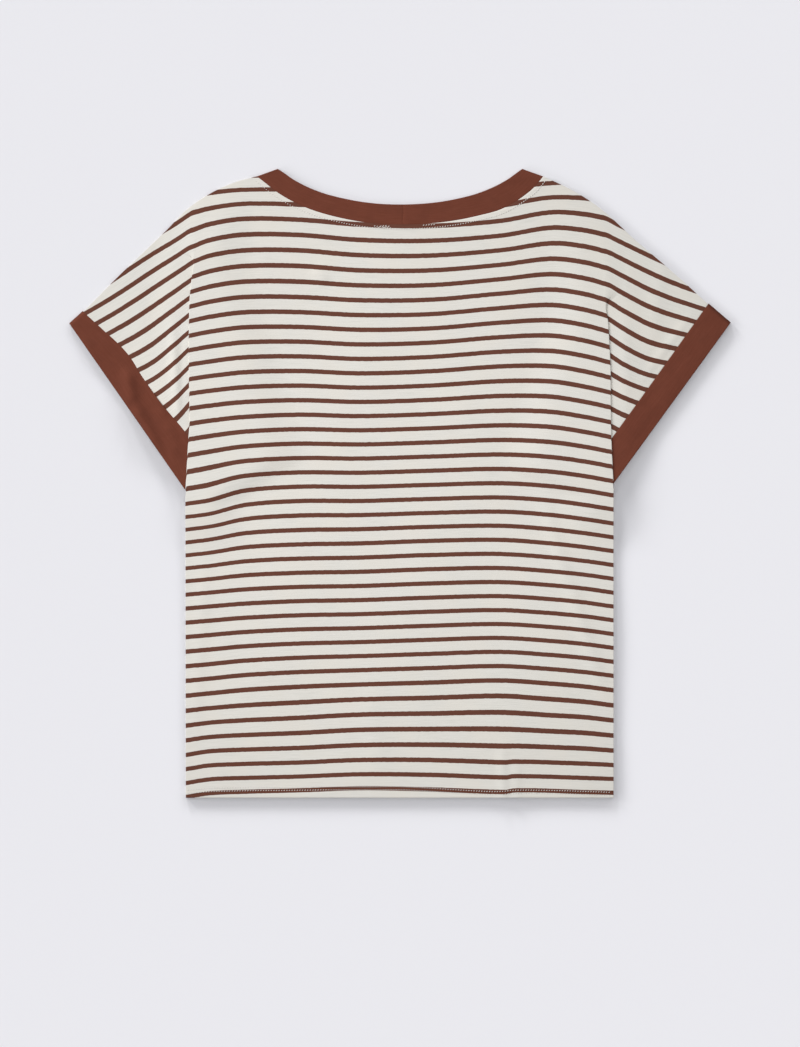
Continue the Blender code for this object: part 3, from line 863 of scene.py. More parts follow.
def band_station(free, sewn, toward, angle, relief):
    """Points of a band's section at one station. free and sewn are (across, drop) of its edges,
    toward is the way along the band, and angle is 0 on the back and pi on the front."""
    width = math.dist(free, sewn)
    at_end = 0.0 < angle < math.pi
    points = []
    for at, offset in band_section(width):
        across, drop = mix_point(free, sewn, at / width)
        turned = BAND_TURN + offset
        along = BAND_FOLD * turned * math.sin(angle) if at_end else 0.0
        rise = MID_RISE + turned * math.cos(angle) + relief(across, drop, at, offset, angle)
        points.append((across + toward[0] * along, drop + toward[1] * along, rise))
    return points


# Stations across the neckband, as shares of its half width, closest beside its join
NECK_STEP, JOIN_STEP = 0.026, 0.003
JOIN_START, JOIN_END = -0.012, 0.033
NECK_SHARES = (
    spaced(-1, JOIN_START, NECK_STEP)
    + spaced(JOIN_START, JOIN_END, JOIN_STEP)
    + spaced(JOIN_END + JOIN_STEP, 1, NECK_STEP)
)
TIP_SHARE = 0.94  # from here to its tip the neck's curve shows the way round the tip
END_ANGLES = [math.pi * i / END_STEPS for i in range(1, END_STEPS)]

# The neckband's join is a groove that swings from side to side, and low waves run along the band
JOIN_ACROSS = 0.021 * NECK_HALF
JOIN_SWING, JOIN_SWING_LENGTH = 0.5, 3.2
JOIN_DEPTH, JOIN_WIDTH = 0.34, 0.9
BAND_WAVE = 0.14
WAVE_ALONG, WAVE_OVER, WAVE_SLANT = 9, 8, 23  # mm for each radian


def neckband_relief(across, drop, at, offset, angle):
    """The neckband's low waves, and the groove where it is joined at the centre back."""
    if angle or offset < 0:
        return 0.0
    swing = JOIN_SWING * (abs(at / JOIN_SWING_LENGTH % 1 - 0.5) * 4 - 1)
    groove = JOIN_DEPTH * math.exp(-(((across - JOIN_ACROSS - swing) / JOIN_WIDTH) ** 2))
    waves = math.sin(across / WAVE_ALONG) * math.sin(at / WAVE_OVER + across / WAVE_SLANT)
    return BAND_WAVE * waves - groove


def neckband_rows():
    """Stations round the neckband: across the back, round a tip, along the front, round the other."""
    back, front = (BACK_NECK_EDGE, BACK_NECK_SEAM), (FRONT_NECK_EDGE, FRONT_NECK_SEAM)
    rows, places = [], []
    for curves, others, sign in ((back, front, 1), (front, back, -1)):
        start = 0.0 if sign > 0 else math.pi
        for share in NECK_SHARES[1:]:
            free, sewn = (neck_point(curve, sign * share) for curve in curves)
            rows.append(band_station(free, sewn, (0, 0), start, neckband_relief))
            places.append(sewn)
        tips = []
        for curve, other in zip(curves, others):
            tip = neck_point(curve, sign)
            toward = unit(neck_point(curve, sign * TIP_SHARE), tip)
            toward_other = unit(neck_point(other, sign * TIP_SHARE), tip)
            mean = unit((0, 0), (toward[0] + toward_other[0], toward[1] + toward_other[1]))
            tips.append(((tip[0] - mean[0] * BAND_REACH, tip[1] - mean[1] * BAND_REACH), mean))
        (free, toward), (sewn, _) = tips
        for turn in [0.0, *END_ANGLES, math.pi]:
            rows.append(band_station(free, sewn, toward, abs(start - turn), neckband_relief))
            places.append(sewn)
    return rows, places


CUFF_ROW_STEP = 0.0115
CUFF_ROWS = spaced(0, 1, CUFF_ROW_STEP) + [1.0]
CUFF_GAP = 0.1  # between a cuff and its sleeve
CUFF_CREASE_FADE = (2.5, 5.0)  # towards the cuff's folded edge


def cuff_rows(side):
    """Stations round a cuff: down its back, round the underarm, up its front, round the top."""
    in_out, in_drop = cuff_inwards(side)
    down = (-in_drop * side.sign, in_out)
    rows, places = [], []

    def add_station(row, shift, toward, angle):
        """The band's section at a row, moved along the band by shift."""
        share = row_share(side, row)
        free, sewn = cuff_outer(side, share), cuff_seam(side, share)
        sewn = mix_point(free, sewn, 1 - CUFF_GAP / math.dist(free, sewn))
        move = (down[0] * shift, down[1] * shift)
        free, sewn = ((side.sign * out + move[0], drop + move[1]) for out, drop in (free, sewn))

        def relief(across, drop, at, offset, around):
            lift = sleeve_lift(side, abs(across), drop, row)
            if around:
                return lift
            return lift + crease_height(CUFF_CREASES, across, drop) * fade(at, CUFF_CREASE_FADE)

        rows.append(band_station(free, sewn, toward, angle, relief))
        places.append(sewn)

    for start, run, end in ((0.0, CUFF_ROWS, -1), (math.pi, CUFF_ROWS[::-1], 1)):
        for row in run:
            add_station(row, {0: BAND_REACH, 1: -BAND_REACH}.get(row, 0.0), (0, 0), start)
        toward = (-end * down[0], -end * down[1])
        for turn in END_ANGLES:
            add_station(run[-1], end * BAND_REACH, toward, abs(start - turn))
    return rows, places


def band_knit(rows, places):
    """The band's knit: wales counted along it and courses across it, in mm."""
    travelled, knit = 0.0, []
    for i, row in enumerate(rows):
        if i:
            travelled += math.dist(places[i], places[i - 1])
            travelled += math.dist(row[0], rows[i - 1][0]) if places[i] == places[i - 1] else 0.0
        over = [0.0]
        for a, b in zip(row, row[1:]):
            over.append(over[-1] + math.dist(a, b))
        knit.append(np.stack([np.full(len(row), travelled), np.array(over)], 1))
    return knit


# Materials

# How fast the yarn and dye change along the courses and from course to course, each per mm
SLUBS = (0.05, 1.1, 0.0)
MOTTLE = (0.022, 0.03, 0.0)
DYE_STREAKS = (0.9, 0.03, 0.0)
BLOTCHES = (0.07, 0.09, 0.0)
STRIPE_WANDER = (0.25, 0.05, 0.0)
WANDER = 0.7  # how far a stripe's edge strays, in mm
SOFT_EDGE = 0.012  # of a stripe, as a share of the repeat
# Between which values of a noise the yarn changes
SLUB_CHANGE = (0.35, 0.7)
STREAK_CHANGE = (0.4, 0.75)
DULL_CHANGE = (0.38, 0.72)
WARM_CHANGE = (0.35, 0.7)
BLOTCH_CHANGE = (0.4, 0.7)
ROUGH_CHANGE = (0.3, 0.7)
WARM_DEPTH, BLOTCH_DEPTH = 0.7, 0.55
SMOOTH_YARN, ROUGH_YARN = 0.82, 0.95
STRIPED_SHEEN, BAND_SHEEN = 0.08, 0.03
# Knit stitches: width and height in mm, how far they slant and swell, and how round their columns are
WALE, COURSE = 0.85, 0.7
KNIT_SLANT, KNIT_SWELL, COLUMN_ROUND = 0.6, 0.25, 3.0
# How strongly the knit and the slubs show, and how deep, in m
YARN_BUMP, KNIT_RELIEF, SLUB_RELIEF = 0.35, 0.00012, 0.0004
# Thread's twist and paper's grain: how fine they are, how strongly they show, and how deep, in m
TWIST, TWIST_BUMP, TWIST_RELIEF = 2500.0, 0.4, 0.0001
GRAIN, GRAIN_BUMP, GRAIN_RELIEF = 900.0, 0.02, 0.0002
# Shades of a yarn, as shares of its colour
DARK_YARN = (0.84, 0.84, 0.84)
DULL_YARN = (0.93, 0.935, 0.93)
WARM_YARN = (1.01, 0.99, 0.965)
DARK_THREAD = (0.8, 0.8, 0.8)
DARK_PAPER = (0.99, 0.99, 0.99)


def tint(colour, shares=(1.0, 1.0, 1.0)):
    """A colour, or a shade of it, as a shader takes it."""
    return (*(part * share for part, share in zip(colour, shares)), 1.0)


# Numbers of the Mix node's sockets for colours
FIRST_COLOUR, SECOND_COLOUR, MIXED_COLOUR = 6, 7, 2


class Nodes:
    """A material's node tree, with short ways to add to it."""

    def __init__(self, name):
        self.material = bpy.data.materials.new(name)
        self.material.use_nodes = True
        self.tree = self.material.node_tree
        self.shader = self.tree.nodes["Principled BSDF"]

    def add(self, kind, **settings):
        node = self.tree.nodes.new("ShaderNode" + kind)
        for name, value in settings.items():
            setattr(node, name, value)
        return node

    def put(self, value, socket):
        if isinstance(value, bpy.types.NodeSocket):
            self.tree.links.new(value, socket)
        else:
            socket.default_value = value

    def math(self, operation, *values):
        node = self.add("Math", operation=operation)
        for value, socket in zip(values, node.inputs):
            self.put(value, socket)
        return node.outputs[0]

    def ramp(self, value, low, high, start=0.0, end=1.0):
        """start where the value is low, end where it is high, and smoothly between them."""
        node = self.add("MapRange", interpolation_type="SMOOTHSTEP")
        for number, setting in enumerate((value, low, high, start, end)):
            self.put(setting, node.inputs[number])
        return node.outputs[0]

    def colour(self, share, first, second):
        """The first colour where share is 0 and the second where it is 1."""
        node = self.add("Mix", data_type="RGBA")
        self.put(share, node.inputs["Factor"])
        self.put(first, node.inputs[FIRST_COLOUR])
        self.put(second, node.inputs[SECOND_COLOUR])
        return node.outputs[MIXED_COLOUR]

    def noise(self, vector, scale, detail=2.0, stretch=(1.0, 1.0, 1.0)):
        """Soft noise that changes faster along the axes that are stretched more."""
        moved = self.add("VectorMath", operation="MULTIPLY")
        self.put(vector, moved.inputs[0])
        self.put(stretch, moved.inputs[1])
        node = self.add("TexNoise")
        self.put(moved.outputs[0], node.inputs["Vector"])
        node.inputs["Scale"].default_value = scale
        node.inputs["Detail"].default_value = detail
        return node.outputs["Fac"]

    def bump(self, height, strength, distance, before=None):
        """A normal tilted by a height, on top of the bump before it."""
        node = self.add("Bump")
        node.inputs["Strength"].default_value = strength
        node.inputs["Distance"].default_value = distance
        self.put(height, node.inputs["Height"])
        if before is not None:
            self.put(before, node.inputs["Normal"])
        return node.outputs["Normal"]


def knit_height(nodes, wale, course):
    """Height of plain knit: columns of stitches, each a V that leans to its column's middle."""
    column = nodes.math("FRACT", nodes.math("DIVIDE", wale, WALE))
    aside = nodes.math("MULTIPLY", nodes.math("ABSOLUTE", nodes.math("SUBTRACT", column, 0.5)), 2.0)
    round_column = nodes.math("SUBTRACT", 1.0, nodes.math("POWER", aside, COLUMN_ROUND))
    slant = nodes.math("MULTIPLY", aside, KNIT_SLANT)
    slanted = nodes.math("ADD", nodes.math("DIVIDE", course, COURSE), slant)
    stitch = nodes.math("SINE", nodes.math("MULTIPLY", slanted, math.tau))
    swollen = nodes.math("MULTIPLY_ADD", stitch, KNIT_SWELL, 1 - KNIT_SWELL)
    return nodes.math("MULTIPLY", round_column, swollen)


def dyed_yarn(nodes, knit, slub, dye, slub_depth, streak_depth):
    """Brown yarn: darker at slubs and in streaks that run with the wales."""
    yarn, dark = tint(dye), tint(dye, DARK_YARN)
    colour = nodes.colour(nodes.ramp(slub, *SLUB_CHANGE, 0.0, slub_depth), yarn, dark)
    streaks = nodes.noise(knit, 1.0, 2.0, DYE_STREAKS)
    return nodes.colour(nodes.ramp(streaks, *STREAK_CHANGE, 0.0, streak_depth), colour, dark)


def cream_yarn(nodes, knit, slub, cream):
    """Cream yarn: duller at slubs, warmer in broad patches."""
    colour = nodes.colour(nodes.ramp(slub, *DULL_CHANGE), tint(cream), tint(cream, DULL_YARN))
    mottle = nodes.noise(knit, 1.0, 2.0, MOTTLE)
    warm = nodes.ramp(mottle, *WARM_CHANGE, 0.0, WARM_DEPTH)
    return nodes.colour(warm, colour, tint(cream, WARM_YARN))


def stripe_share(nodes, knit, course, repeat, width):
    """1 on a stripe and 0 between stripes, with edges that stray a little."""
    stray = nodes.math("SUBTRACT", nodes.noise(knit, 1.0, 3.0, STRIPE_WANDER), 0.5)
    place = nodes.math("ADD", course, nodes.math("MULTIPLY", stray, WANDER))
    repeats = nodes.math("ADD", nodes.math("DIVIDE", place, repeat / MM), 0.5)
    aside = nodes.math("ABSOLUTE", nodes.math("SUBTRACT", nodes.math("FRACT", repeats), 0.5))
    half = width / repeat / 2
    return nodes.ramp(aside, half + SOFT_EDGE, half - SOFT_EDGE)


def jersey_material(name, looks, striped):
    """Jersey with slubby yarn: cream with brown stripes, or the bands' plain brown."""
    nodes = Nodes(name)
    knit = nodes.add("Attribute", attribute_name="knit").outputs["Vector"]
    split = nodes.add("SeparateXYZ")
    nodes.put(knit, split.inputs[0])
    wale, course = split.outputs[0], split.outputs[1]
    slub = nodes.noise(knit, 1.0, 3.0, SLUBS)
    if striped:
        brown = dyed_yarn(nodes, knit, slub, looks.brown, slub_depth=1.0, streak_depth=0.35)
        stripe = stripe_share(nodes, knit, course, looks.repeat, looks.stripe)
        colour = nodes.colour(stripe, cream_yarn(nodes, knit, slub, looks.cream), brown)
    else:
        brown = dyed_yarn(nodes, knit, slub, looks.band, slub_depth=0.5, streak_depth=0.2)
        blotches = nodes.noise(knit, 1.0, 3.0, BLOTCHES)
        blotched = nodes.ramp(blotches, *BLOTCH_CHANGE, 0.0, BLOTCH_DEPTH)
        colour = nodes.colour(blotched, brown, tint(looks.band, DARK_YARN))
    nodes.put(colour, nodes.shader.inputs["Base Color"])
    roughness = nodes.ramp(slub, *ROUGH_CHANGE, SMOOTH_YARN, ROUGH_YARN)
    nodes.put(roughness, nodes.shader.inputs["Roughness"])
    normal = nodes.bump(knit_height(nodes, wale, course), YARN_BUMP, KNIT_RELIEF)
    normal = nodes.bump(slub, YARN_BUMP, SLUB_RELIEF, normal)
    nodes.put(normal, nodes.shader.inputs["Normal"])
    nodes.shader.inputs["Sheen Weight"].default_value = STRIPED_SHEEN if striped else BAND_SHEEN
    nodes.shader.inputs["Sheen Roughness"].default_value = 0.5
    nodes.shader.inputs["Specular IOR Level"].default_value = 0.2
    return nodes.material


def thread_material(name, colour):
    """Twisted sewing thread."""
    nodes = Nodes(name)
    twist = nodes.noise(nodes.add("TexCoord").outputs["Object"], TWIST)
    twisted = nodes.colour(twist, tint(colour), tint(colour, DARK_THREAD))
    nodes.put(twisted, nodes.shader.inputs["Base Color"])
    nodes.put(nodes.bump(twist, TWIST_BUMP, TWIST_RELIEF), nodes.shader.inputs["Normal"])
    nodes.shader.inputs["Roughness"].default_value = 0.55
    return nodes.material


def floor_material(name, colour):
    """Smooth matt paper."""
    nodes = Nodes(name)
    grain = nodes.noise(nodes.add("TexCoord").outputs["Object"], GRAIN, 3.0)
    paper = nodes.colour(grain, tint(colour), tint(colour, DARK_PAPER))
    nodes.put(paper, nodes.shader.inputs["Base Color"])
    nodes.put(nodes.bump(grain, GRAIN_BUMP, GRAIN_RELIEF), nodes.shader.inputs["Normal"])
    nodes.shader.inputs["Roughness"].default_value = 0.95
    nodes.shader.inputs["Specular IOR Level"].default_value = 0.1
    return nodes.material


@lru_cache(maxsize=None)
def finish(name):
    """A finish, made once and shared by every piece that wears it."""
    scene = bpy.context.scene
    if name == "pale_thread":
        return thread_material(name, scene.tshirt_stitches.colour)
    return jersey_material(name, scene.tshirt_looks, striped=name == "striped_jersey")


def dress(piece, finish_name):
    """Gives a piece its finish and lets it ride on the shirt's body."""
    piece.data.materials.append(finish(finish_name))
    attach(piece, ROOT)


# Stitches

# A stitch's thread along its length: thickness, and how far it sinks, both in radii
THREAD_SHAPE = ((0.35, 0.9), (0.85, 0.1), (1.0, 0.0), (0.85, 0.1), (0.35, 0.9))
THREAD_SIDES = 6
PATH_STEP = 0.2
NECK_PATH_STEPS = 97  # on each side of the centre back
HEM_PATH_STEPS = 80
SHOULDER_MARGIN = 0.8  # from the shoulder to the neck's first and last stitch


def stitch_mesh(name, stitches, radius):
    """Short threads, each from one point to another and sunk a little at its ends."""
    points, faces = [], []
    for start, end, up in stitches:
        start, end, up = Vector(start), Vector(end), Vector(up)
        across = (end - start).cross(up).normalized()
        base = len(points)
        for i, (size, sunk) in enumerate(THREAD_SHAPE):
            centre = start.lerp(end, i / (len(THREAD_SHAPE) - 1)) - up * radius * sunk
            for j in range(THREAD_SIDES):
                angle = math.tau * j / THREAD_SIDES
                points.append(centre + (across * math.cos(angle) + up * math.sin(angle)) * size * radius)
        for i in range(len(THREAD_SHAPE) - 1):
            for j in range(THREAD_SIDES):
                a, b = (base + i * THREAD_SIDES + k % THREAD_SIDES for k in (j, j + 1))
                faces.append((a, b, b + THREAD_SIDES, a + THREAD_SIDES))
        faces.append(range(base + THREAD_SIDES - 1, base - 1, -1))
        faces.append(range(len(points) - THREAD_SIDES, len(points)))
    mesh = bpy.data.meshes.new(name)
    mesh.from_pydata(points, [], faces)
    mesh.shade_smooth()
    thread = bpy.data.objects.new(name, mesh)
    bpy.context.scene.collection.objects.link(thread)
    return thread


def finely(path):
    """(place, distance) along a path, in steps of about PATH_STEP."""
    travelled = 0.0
    for a, b in zip(path, path[1:]):
        span = math.dist(a, b)
        steps = max(int(span / PATH_STEP), 1)
        for i in range(steps):
            yield mix_point(a, b, i / steps), travelled + span * i / steps
        travelled += span


def stitch_row(panel, path, row, settings):
    """Stitches along a path of (across, drop) points on a panel's outer face, in the given row."""
    outwards = -panel.inwards
    height = CLOTH / 2 + panel.proud * settings.radius / MM
    length, gap = settings.length / MM, settings.gap / MM
    pairs, start = [], None
    for place, at in finely(path):
        sewn = at % (length + gap) < length
        if sewn and start is None:
            start = place
        if not sewn and start is not None:
            pairs.append((start, place))
            start = None
    threads = []
    for pair in pairs:
        ends = []
        for (across, drop), lean in zip(pair, (STITCH_SLANT, -STITCH_SLANT)):
            rise = body_rise(panel, across, drop, row) + outwards * height
            ends.append((across * MM, (LENGTH / 2 - drop - lean) * MM, rise * MM))
        threads.append((*ends, (0, 0, outwards)))
    return threads


def neck_stitch_path(panel):
    path = []
    for i in range(1 - NECK_PATH_STEPS, NECK_PATH_STEPS):
        share = i / NECK_PATH_STEPS
        across, drop = neck_point(panel.neck, share)
        run, fall = neck_direction(panel.neck, share)
        path.append((across - fall * NECK_STITCH, drop + run * NECK_STITCH))
    return [place for place in path if place[1] > top_drop(panel.neck, place[0]) + SHOULDER_MARGIN]


def hem_stitch_path(above):
    start, end = HEM_STITCH_END - LEFT.hem_out, RIGHT.hem_out - HEM_STITCH_END
    places = [mix(start, end, i / HEM_PATH_STEPS) for i in range(HEM_PATH_STEPS + 1)]
    return [(across, read_table(HEM_LINE, across) - above) for across in places]


# Settings


class TShirtClothSettings(bpy.types.PropertyGroup):
    thickness: FloatProperty(
        name="Thickness",
        description="Thickness of one layer of jersey",
        default=CLOTH * MM,
        min=0.0002,
        max=0.0012,
        precision=5,
        unit="LENGTH",
    )


class TShirtLooksSettings(bpy.types.PropertyGroup):
    cream: FloatVectorProperty(
        name="Cream",
        description="Ground of the striped jersey",
        default=(0.777, 0.754, 0.706),
        subtype="COLOR",
    )
    brown: FloatVectorProperty(
        name="Brown",
        description="Stripes of the jersey",
        default=(0.146, 0.052, 0.033),
        subtype="COLOR",
    )
    band: FloatVectorProperty(
        name="Band",
        description="Neckband and cuffs",
        default=(0.167, 0.046, 0.0258),
        subtype="COLOR",
    )
    repeat: FloatProperty(
        name="Stripe repeat",
        description="From one stripe to the next",
        default=STRIPE_REPEAT * MM,
        min=0.004,
        max=0.1,
        precision=5,
        unit="LENGTH",
    )
    stripe: FloatProperty(
        name="Stripe width",
        description="Width of a brown stripe",
        default=STRIPE_WIDTH * MM,
        min=0.001,
        max=0.1,
        precision=5,
        unit="LENGTH",
    )


class TShirtStitchSettings(bpy.types.PropertyGroup):
    length: FloatProperty(
        name="Stitch length",
        description="Length of one stitch",
        default=0.0013,
        min=0.001,
        max=0.01,
        precision=5,
        unit="LENGTH",
    )
    gap: FloatProperty(
        name="Gap",
        description="From one stitch to the next",
        default=0.0013,
        min=0.0003,
        max=0.01,
        precision=5,
        unit="LENGTH",
    )
    radius: FloatProperty(
        name="Thread radius",
        description="Half the thread's thickness",
        default=0.0004,
        min=0.0001,
        max=0.001,
        precision=5,
        unit="LENGTH",
    )
    colour: FloatVectorProperty(
        name="Thread",
        description="Sewing thread",
        default=(0.86, 0.83, 0.79),
        subtype="COLOR",
    )


class TShirtStudioSettings(bpy.types.PropertyGroup):
    floor: FloatVectorProperty(
        name="Floor",
        description="Pale paper under the shirt",
        default=(0.80, 0.797, 0.835),
        subtype="COLOR",
    )
    surround: FloatProperty(
        name="Surround",
        description="Brightness of the pale room",
        default=0.27,
        min=0.0,
        max=5.0,
    )
    key: FloatProperty(
        name="Key light",
        description="Power of the soft light on the shirt, from the upper left",
        default=183.0,
        min=0.0,
        unit="POWER",
    )
    spot: FloatProperty(
        name="Soft spot",
        description="Power of the light that brightens the shirt's middle",
        default=580.0,
        min=0.0,
        unit="POWER",
    )
    top_light: FloatProperty(
        name="Top light",
        description="Strength of the light on the floor from above",
        default=0.63,
        min=0.0,
    )
    low_light: FloatProperty(
        name="Low light",
        description="Strength of the low lights that draw the shirt's shadow",
        default=1.0,
        min=0.0,
    )


# Operators


class TSHIRT_OT_panels(bpy.types.Operator):
    """Lays the striped back and front panels, with their sleeves, pleats and turned hems"""

    bl_idname = "tshirt.panels"
    bl_label = "Lay back and front"

    def execute(self, context):
        thickness = context.scene.tshirt_cloth.thickness
        for panel in (FRONT, BACK):
            rows = panel_rows(panel)
            shell = cloth_mesh("shirt_" + panel.name, rows, knit_of(rows), thickness)
            dress(shell, "striped_jersey")
            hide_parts(panel.name)
        return {"FINISHED"}


class TSHIRT_OT_neckband(bpy.types.Operator):
    """Sews the doubled neckband, joined at the centre back"""

    bl_idname = "tshirt.neckband"
    bl_label = "Sew neckband"

    def execute(self, context):
        thickness = context.scene.tshirt_cloth.thickness
        rows, places = neckband_rows()
        band = cloth_mesh("shirt_neckband", rows, band_knit(rows, places), thickness, ring=True)
        dress(band, "brown_jersey")
        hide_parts("neckband")
        return {"FINISHED"}


class TSHIRT_OT_cuffs(bpy.types.Operator):
    """Sews a doubled cuff round each sleeve opening"""

    bl_idname = "tshirt.cuffs"
    bl_label = "Sew cuffs"

    def execute(self, context):
        thickness = context.scene.tshirt_cloth.thickness
        for side in (LEFT, RIGHT):
            rows, places = cuff_rows(side)
            cuff = cloth_mesh("shirt_cuff_" + side.name, rows, band_knit(rows, places), thickness, ring=True)
            dress(cuff, "brown_jersey")
            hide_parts("cuff_" + side.name)
        return {"FINISHED"}


class TSHIRT_OT_stitches(bpy.types.Operator):
    """Sews the row of stitches below the neck seam and the two rows along the hem"""

    bl_idname = "tshirt.stitches"
    bl_label = "Stitch neck and hem"

    def execute(self, context):
        settings = context.scene.tshirt_stitches
        hem = [hem_stitch_path(above) for above in HEM_ROWS]
        for panel in (FRONT, BACK):
            neck = [neck_stitch_path(panel), *(BACK_TACKS if panel is BACK else ())]
            for name, paths, row in (("neck", neck, 0.0), ("hem", hem, 2.0)):
                threads = [thread for path in paths for thread in stitch_row(panel, path, row, settings)]
                stitches = stitch_mesh(f"{name}_stitches_{panel.name}", threads, settings.radius)
                dress(stitches, "pale_thread")
        return {"FINISHED"}


class TSHIRT_OT_cloth_facts(bpy.types.Operator):
    """Takes no step: it leaves every piece of cloth as it is"""

    bl_idname = "tshirt.cloth_facts"
    bl_label = "Declare cloth"

    def execute(self, context):
        return {"FINISHED"}


# Lights: where each comes from, clockwise from the neck's side and up from the floor, and how wide it
# looks from the shirt, in degrees. share is what a low light adds to the floor's brightness.
Light = namedtuple("Light", "name azimuth elevation spread share", defaults=(None,))
KEY = Light(name="key", azimuth=-50, elevation=34, spread=30)
KEY_DISTANCE = 4.7  # m, near enough for the shirt to grow darker away from it
SPOT = Light(name="soft_spot", azimuth=0, elevation=90, spread=10.8)
SPOT_HEIGHT = 7.0  # m
SPOT_BELOW = 0.045  # m, from the shirt's middle towards the hem
SPOT_RADIUS = 0.2  # m, of the lamp itself
TOP = Light(name="top_light", azimuth=0, elevation=90, spread=40)
LOW_LIGHTS = (
    Light(name="low_left_below", azimuth=-115, elevation=11, spread=10, share=0.057),
    Light(name="low_left", azimuth=-75, elevation=7, spread=6, share=0.056),
    Light(name="mid_left", azimuth=-75, elevation=12, spread=10, share=0.058),
    Light(name="low_upper_left", azimuth=-45, elevation=7, spread=6, share=0.122),
    Light(name="low_above", azimuth=-15, elevation=7, spread=6, share=0.126),
    Light(name="low_upper_right", azimuth=15, elevation=9.5, spread=8, share=0.073),
    Light(name="low_right", azimuth=45, elevation=10, spread=9, share=0.040),
    Light(name="mid_right", azimuth=75, elevation=18, spread=14, share=0.028),
)


def add_light(light, kind, energy, receivers):
    """A soft light that only the receivers catch."""
    data = bpy.data.lights.new(light.name, kind)
    data.energy = energy
    spread = math.radians(light.spread)
    distance = SPOT_HEIGHT if kind == "SPOT" else KEY_DISTANCE
    if kind == "SUN":
        data.angle = spread
    elif kind == "SPOT":
        data.spot_size, data.spot_blend, data.shadow_soft_size = spread, 1.0, SPOT_RADIUS
    else:
        data.size = 2 * distance * math.tan(spread / 2)
    lamp = bpy.data.objects.new(light.name, data)
    bpy.context.scene.collection.objects.link(lamp)
    azimuth, elevation = math.radians(light.azimuth), math.radians(light.elevation)
    level = math.cos(elevation)
    from_there = Vector((math.sin(azimuth) * level, math.cos(azimuth) * level, math.sin(elevation)))
    lamp.rotation_euler = from_there.to_track_quat("Z", "Y").to_euler()
    lamp.location = from_there * distance
    if kind == "SPOT":
        lamp.location.y -= SPOT_BELOW
    lamp.light_linking.receiver_collection = receivers


def receivers_of(floor, name, link_state):
    """A collection by which a light reaches either the floor alone or everything else."""
    receivers = bpy.data.collections.new(name)
    receivers.objects.link(floor)
    receivers.collection_objects[0].light_linking.link_state = link_state
    return receivers


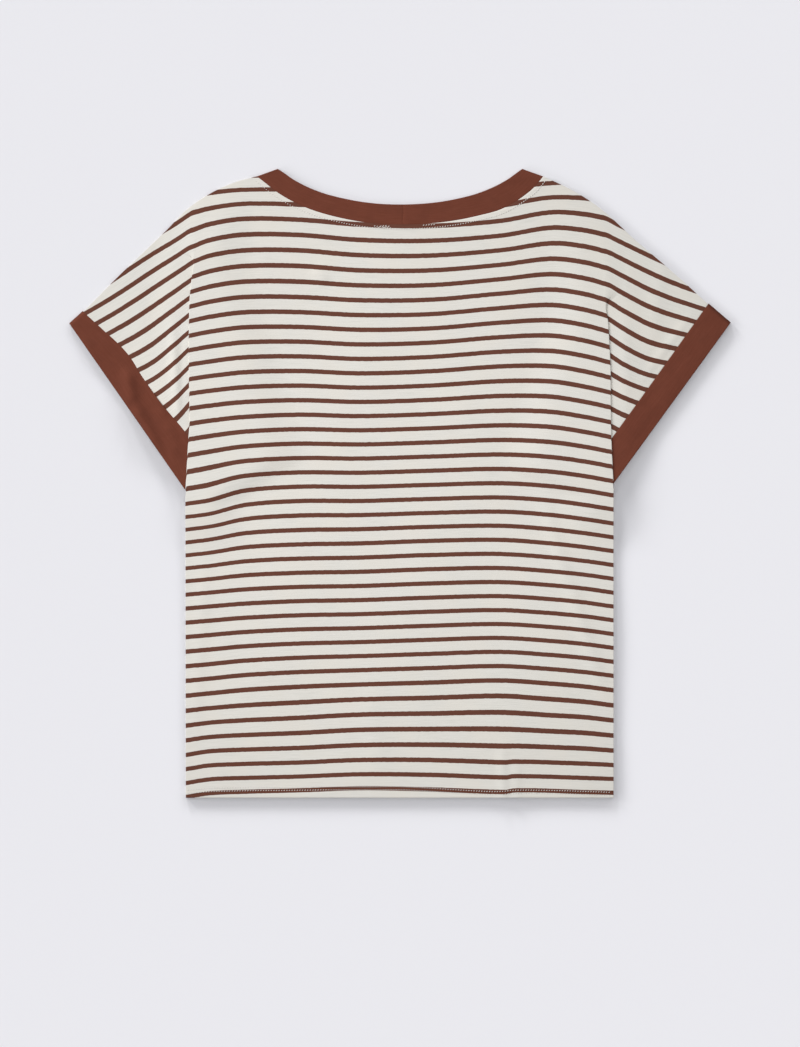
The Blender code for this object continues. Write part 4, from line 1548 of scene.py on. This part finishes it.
class TSHIRT_OT_studio(bpy.types.Operator):
    """Sets up the pale floor, the soft lights and the camera that looks straight down"""

    bl_idname = "tshirt.studio"
    bl_label = "Set up studio"

    FLOOR_HALF = 4.0  # from its middle to each side
    CAMERA_HEIGHT = 6.0
    FRAME_HEIGHT = 1.047  # of floor in the picture
    CENTRE = (0.0, -0.04025)
    LONG_SIDE = 36.0  # of the sensor, in mm

    def add_floor(self, context):
        mesh = bpy.data.meshes.new("floor")
        half = self.FLOOR_HALF
        corners = [(-half, -half, 0.0), (half, -half, 0.0), (half, half, 0.0), (-half, half, 0.0)]
        mesh.from_pydata(corners, [], [(0, 1, 2, 3)])
        mesh.materials.append(floor_material("pale_paper", context.scene.tshirt_studio.floor))
        floor = bpy.data.objects.new("floor", mesh)
        context.scene.collection.objects.link(floor)
        return floor

    def add_lights(self, context, floor):
        settings = context.scene.tshirt_studio
        world = bpy.data.worlds.new("pale_room")
        world.use_nodes = True
        background = world.node_tree.nodes["Background"]
        background.inputs["Color"].default_value = (1.0, 1.0, 1.0, 1.0)
        background.inputs["Strength"].default_value = settings.surround
        context.scene.world = world
        all_but_floor = receivers_of(floor, "all_but_floor", "EXCLUDE")
        floor_only = receivers_of(floor, "floor_only", "INCLUDE")
        add_light(KEY, "AREA", settings.key, all_but_floor)
        add_light(SPOT, "SPOT", settings.spot, all_but_floor)
        add_light(TOP, "SUN", settings.top_light, floor_only)
        for light in LOW_LIGHTS:
            strength = light.share * math.pi / math.sin(math.radians(light.elevation))
            add_light(light, "SUN", strength * settings.low_light, floor_only)

    def add_camera(self, context):
        camera = bpy.data.cameras.new("camera")
        camera.sensor_width = self.LONG_SIDE
        camera.lens = self.LONG_SIDE * self.CAMERA_HEIGHT / self.FRAME_HEIGHT
        eye = bpy.data.objects.new("camera", camera)
        eye.location = (*self.CENTRE, self.CAMERA_HEIGHT)
        context.scene.collection.objects.link(eye)
        context.scene.camera = eye

    def execute(self, context):
        self.add_lights(context, self.add_floor(context))
        self.add_camera(context)
        context.scene.view_settings.view_transform = "Standard"
        return {"FINISHED"}


class TSHIRT_PT_sidebar(bpy.types.Panel):
    """The shirt's steps, in the order they are made"""

    bl_idname = "TSHIRT_PT_sidebar"
    bl_label = "T-shirt"
    bl_space_type = "VIEW_3D"
    bl_region_type = "UI"
    bl_category = "T-shirt"

    def draw(self, context):
        scene = context.scene
        for settings in SETTINGS:
            group = getattr(scene, settings)
            for name in group.bl_rna.properties.keys():
                if name not in ("rna_type", "name"):
                    self.layout.prop(group, name)
        for step in STEPS:
            self.layout.operator(step.bl_idname)


SETTINGS = {
    "tshirt_cloth": TShirtClothSettings,
    "tshirt_looks": TShirtLooksSettings,
    "tshirt_stitches": TShirtStitchSettings,
    "tshirt_studio": TShirtStudioSettings,
}
STEPS = (
    TSHIRT_OT_panels,
    TSHIRT_OT_neckband,
    TSHIRT_OT_cuffs,
    TSHIRT_OT_stitches,
    TSHIRT_OT_cloth_facts,
    TSHIRT_OT_studio,
)


def register():
    for name, settings in SETTINGS.items():
        bpy.utils.register_class(settings)
        setattr(bpy.types.Scene, name, PointerProperty(type=settings))
    for step in STEPS:
        bpy.utils.register_class(step)
    bpy.utils.register_class(TSHIRT_PT_sidebar)


def unregister():
    bpy.utils.unregister_class(TSHIRT_PT_sidebar)
    for step in reversed(STEPS):
        bpy.utils.unregister_class(step)
    for name, settings in SETTINGS.items():
        delattr(bpy.types.Scene, name)
        bpy.utils.unregister_class(settings)


def main():
    register()
    bpy.ops.tshirt.panels()
    bpy.ops.tshirt.neckband()
    bpy.ops.tshirt.cuffs()
    bpy.ops.tshirt.stitches()
    bpy.ops.tshirt.cloth_facts()
    bpy.ops.tshirt.studio()


if __name__ == "__main__":
    main()
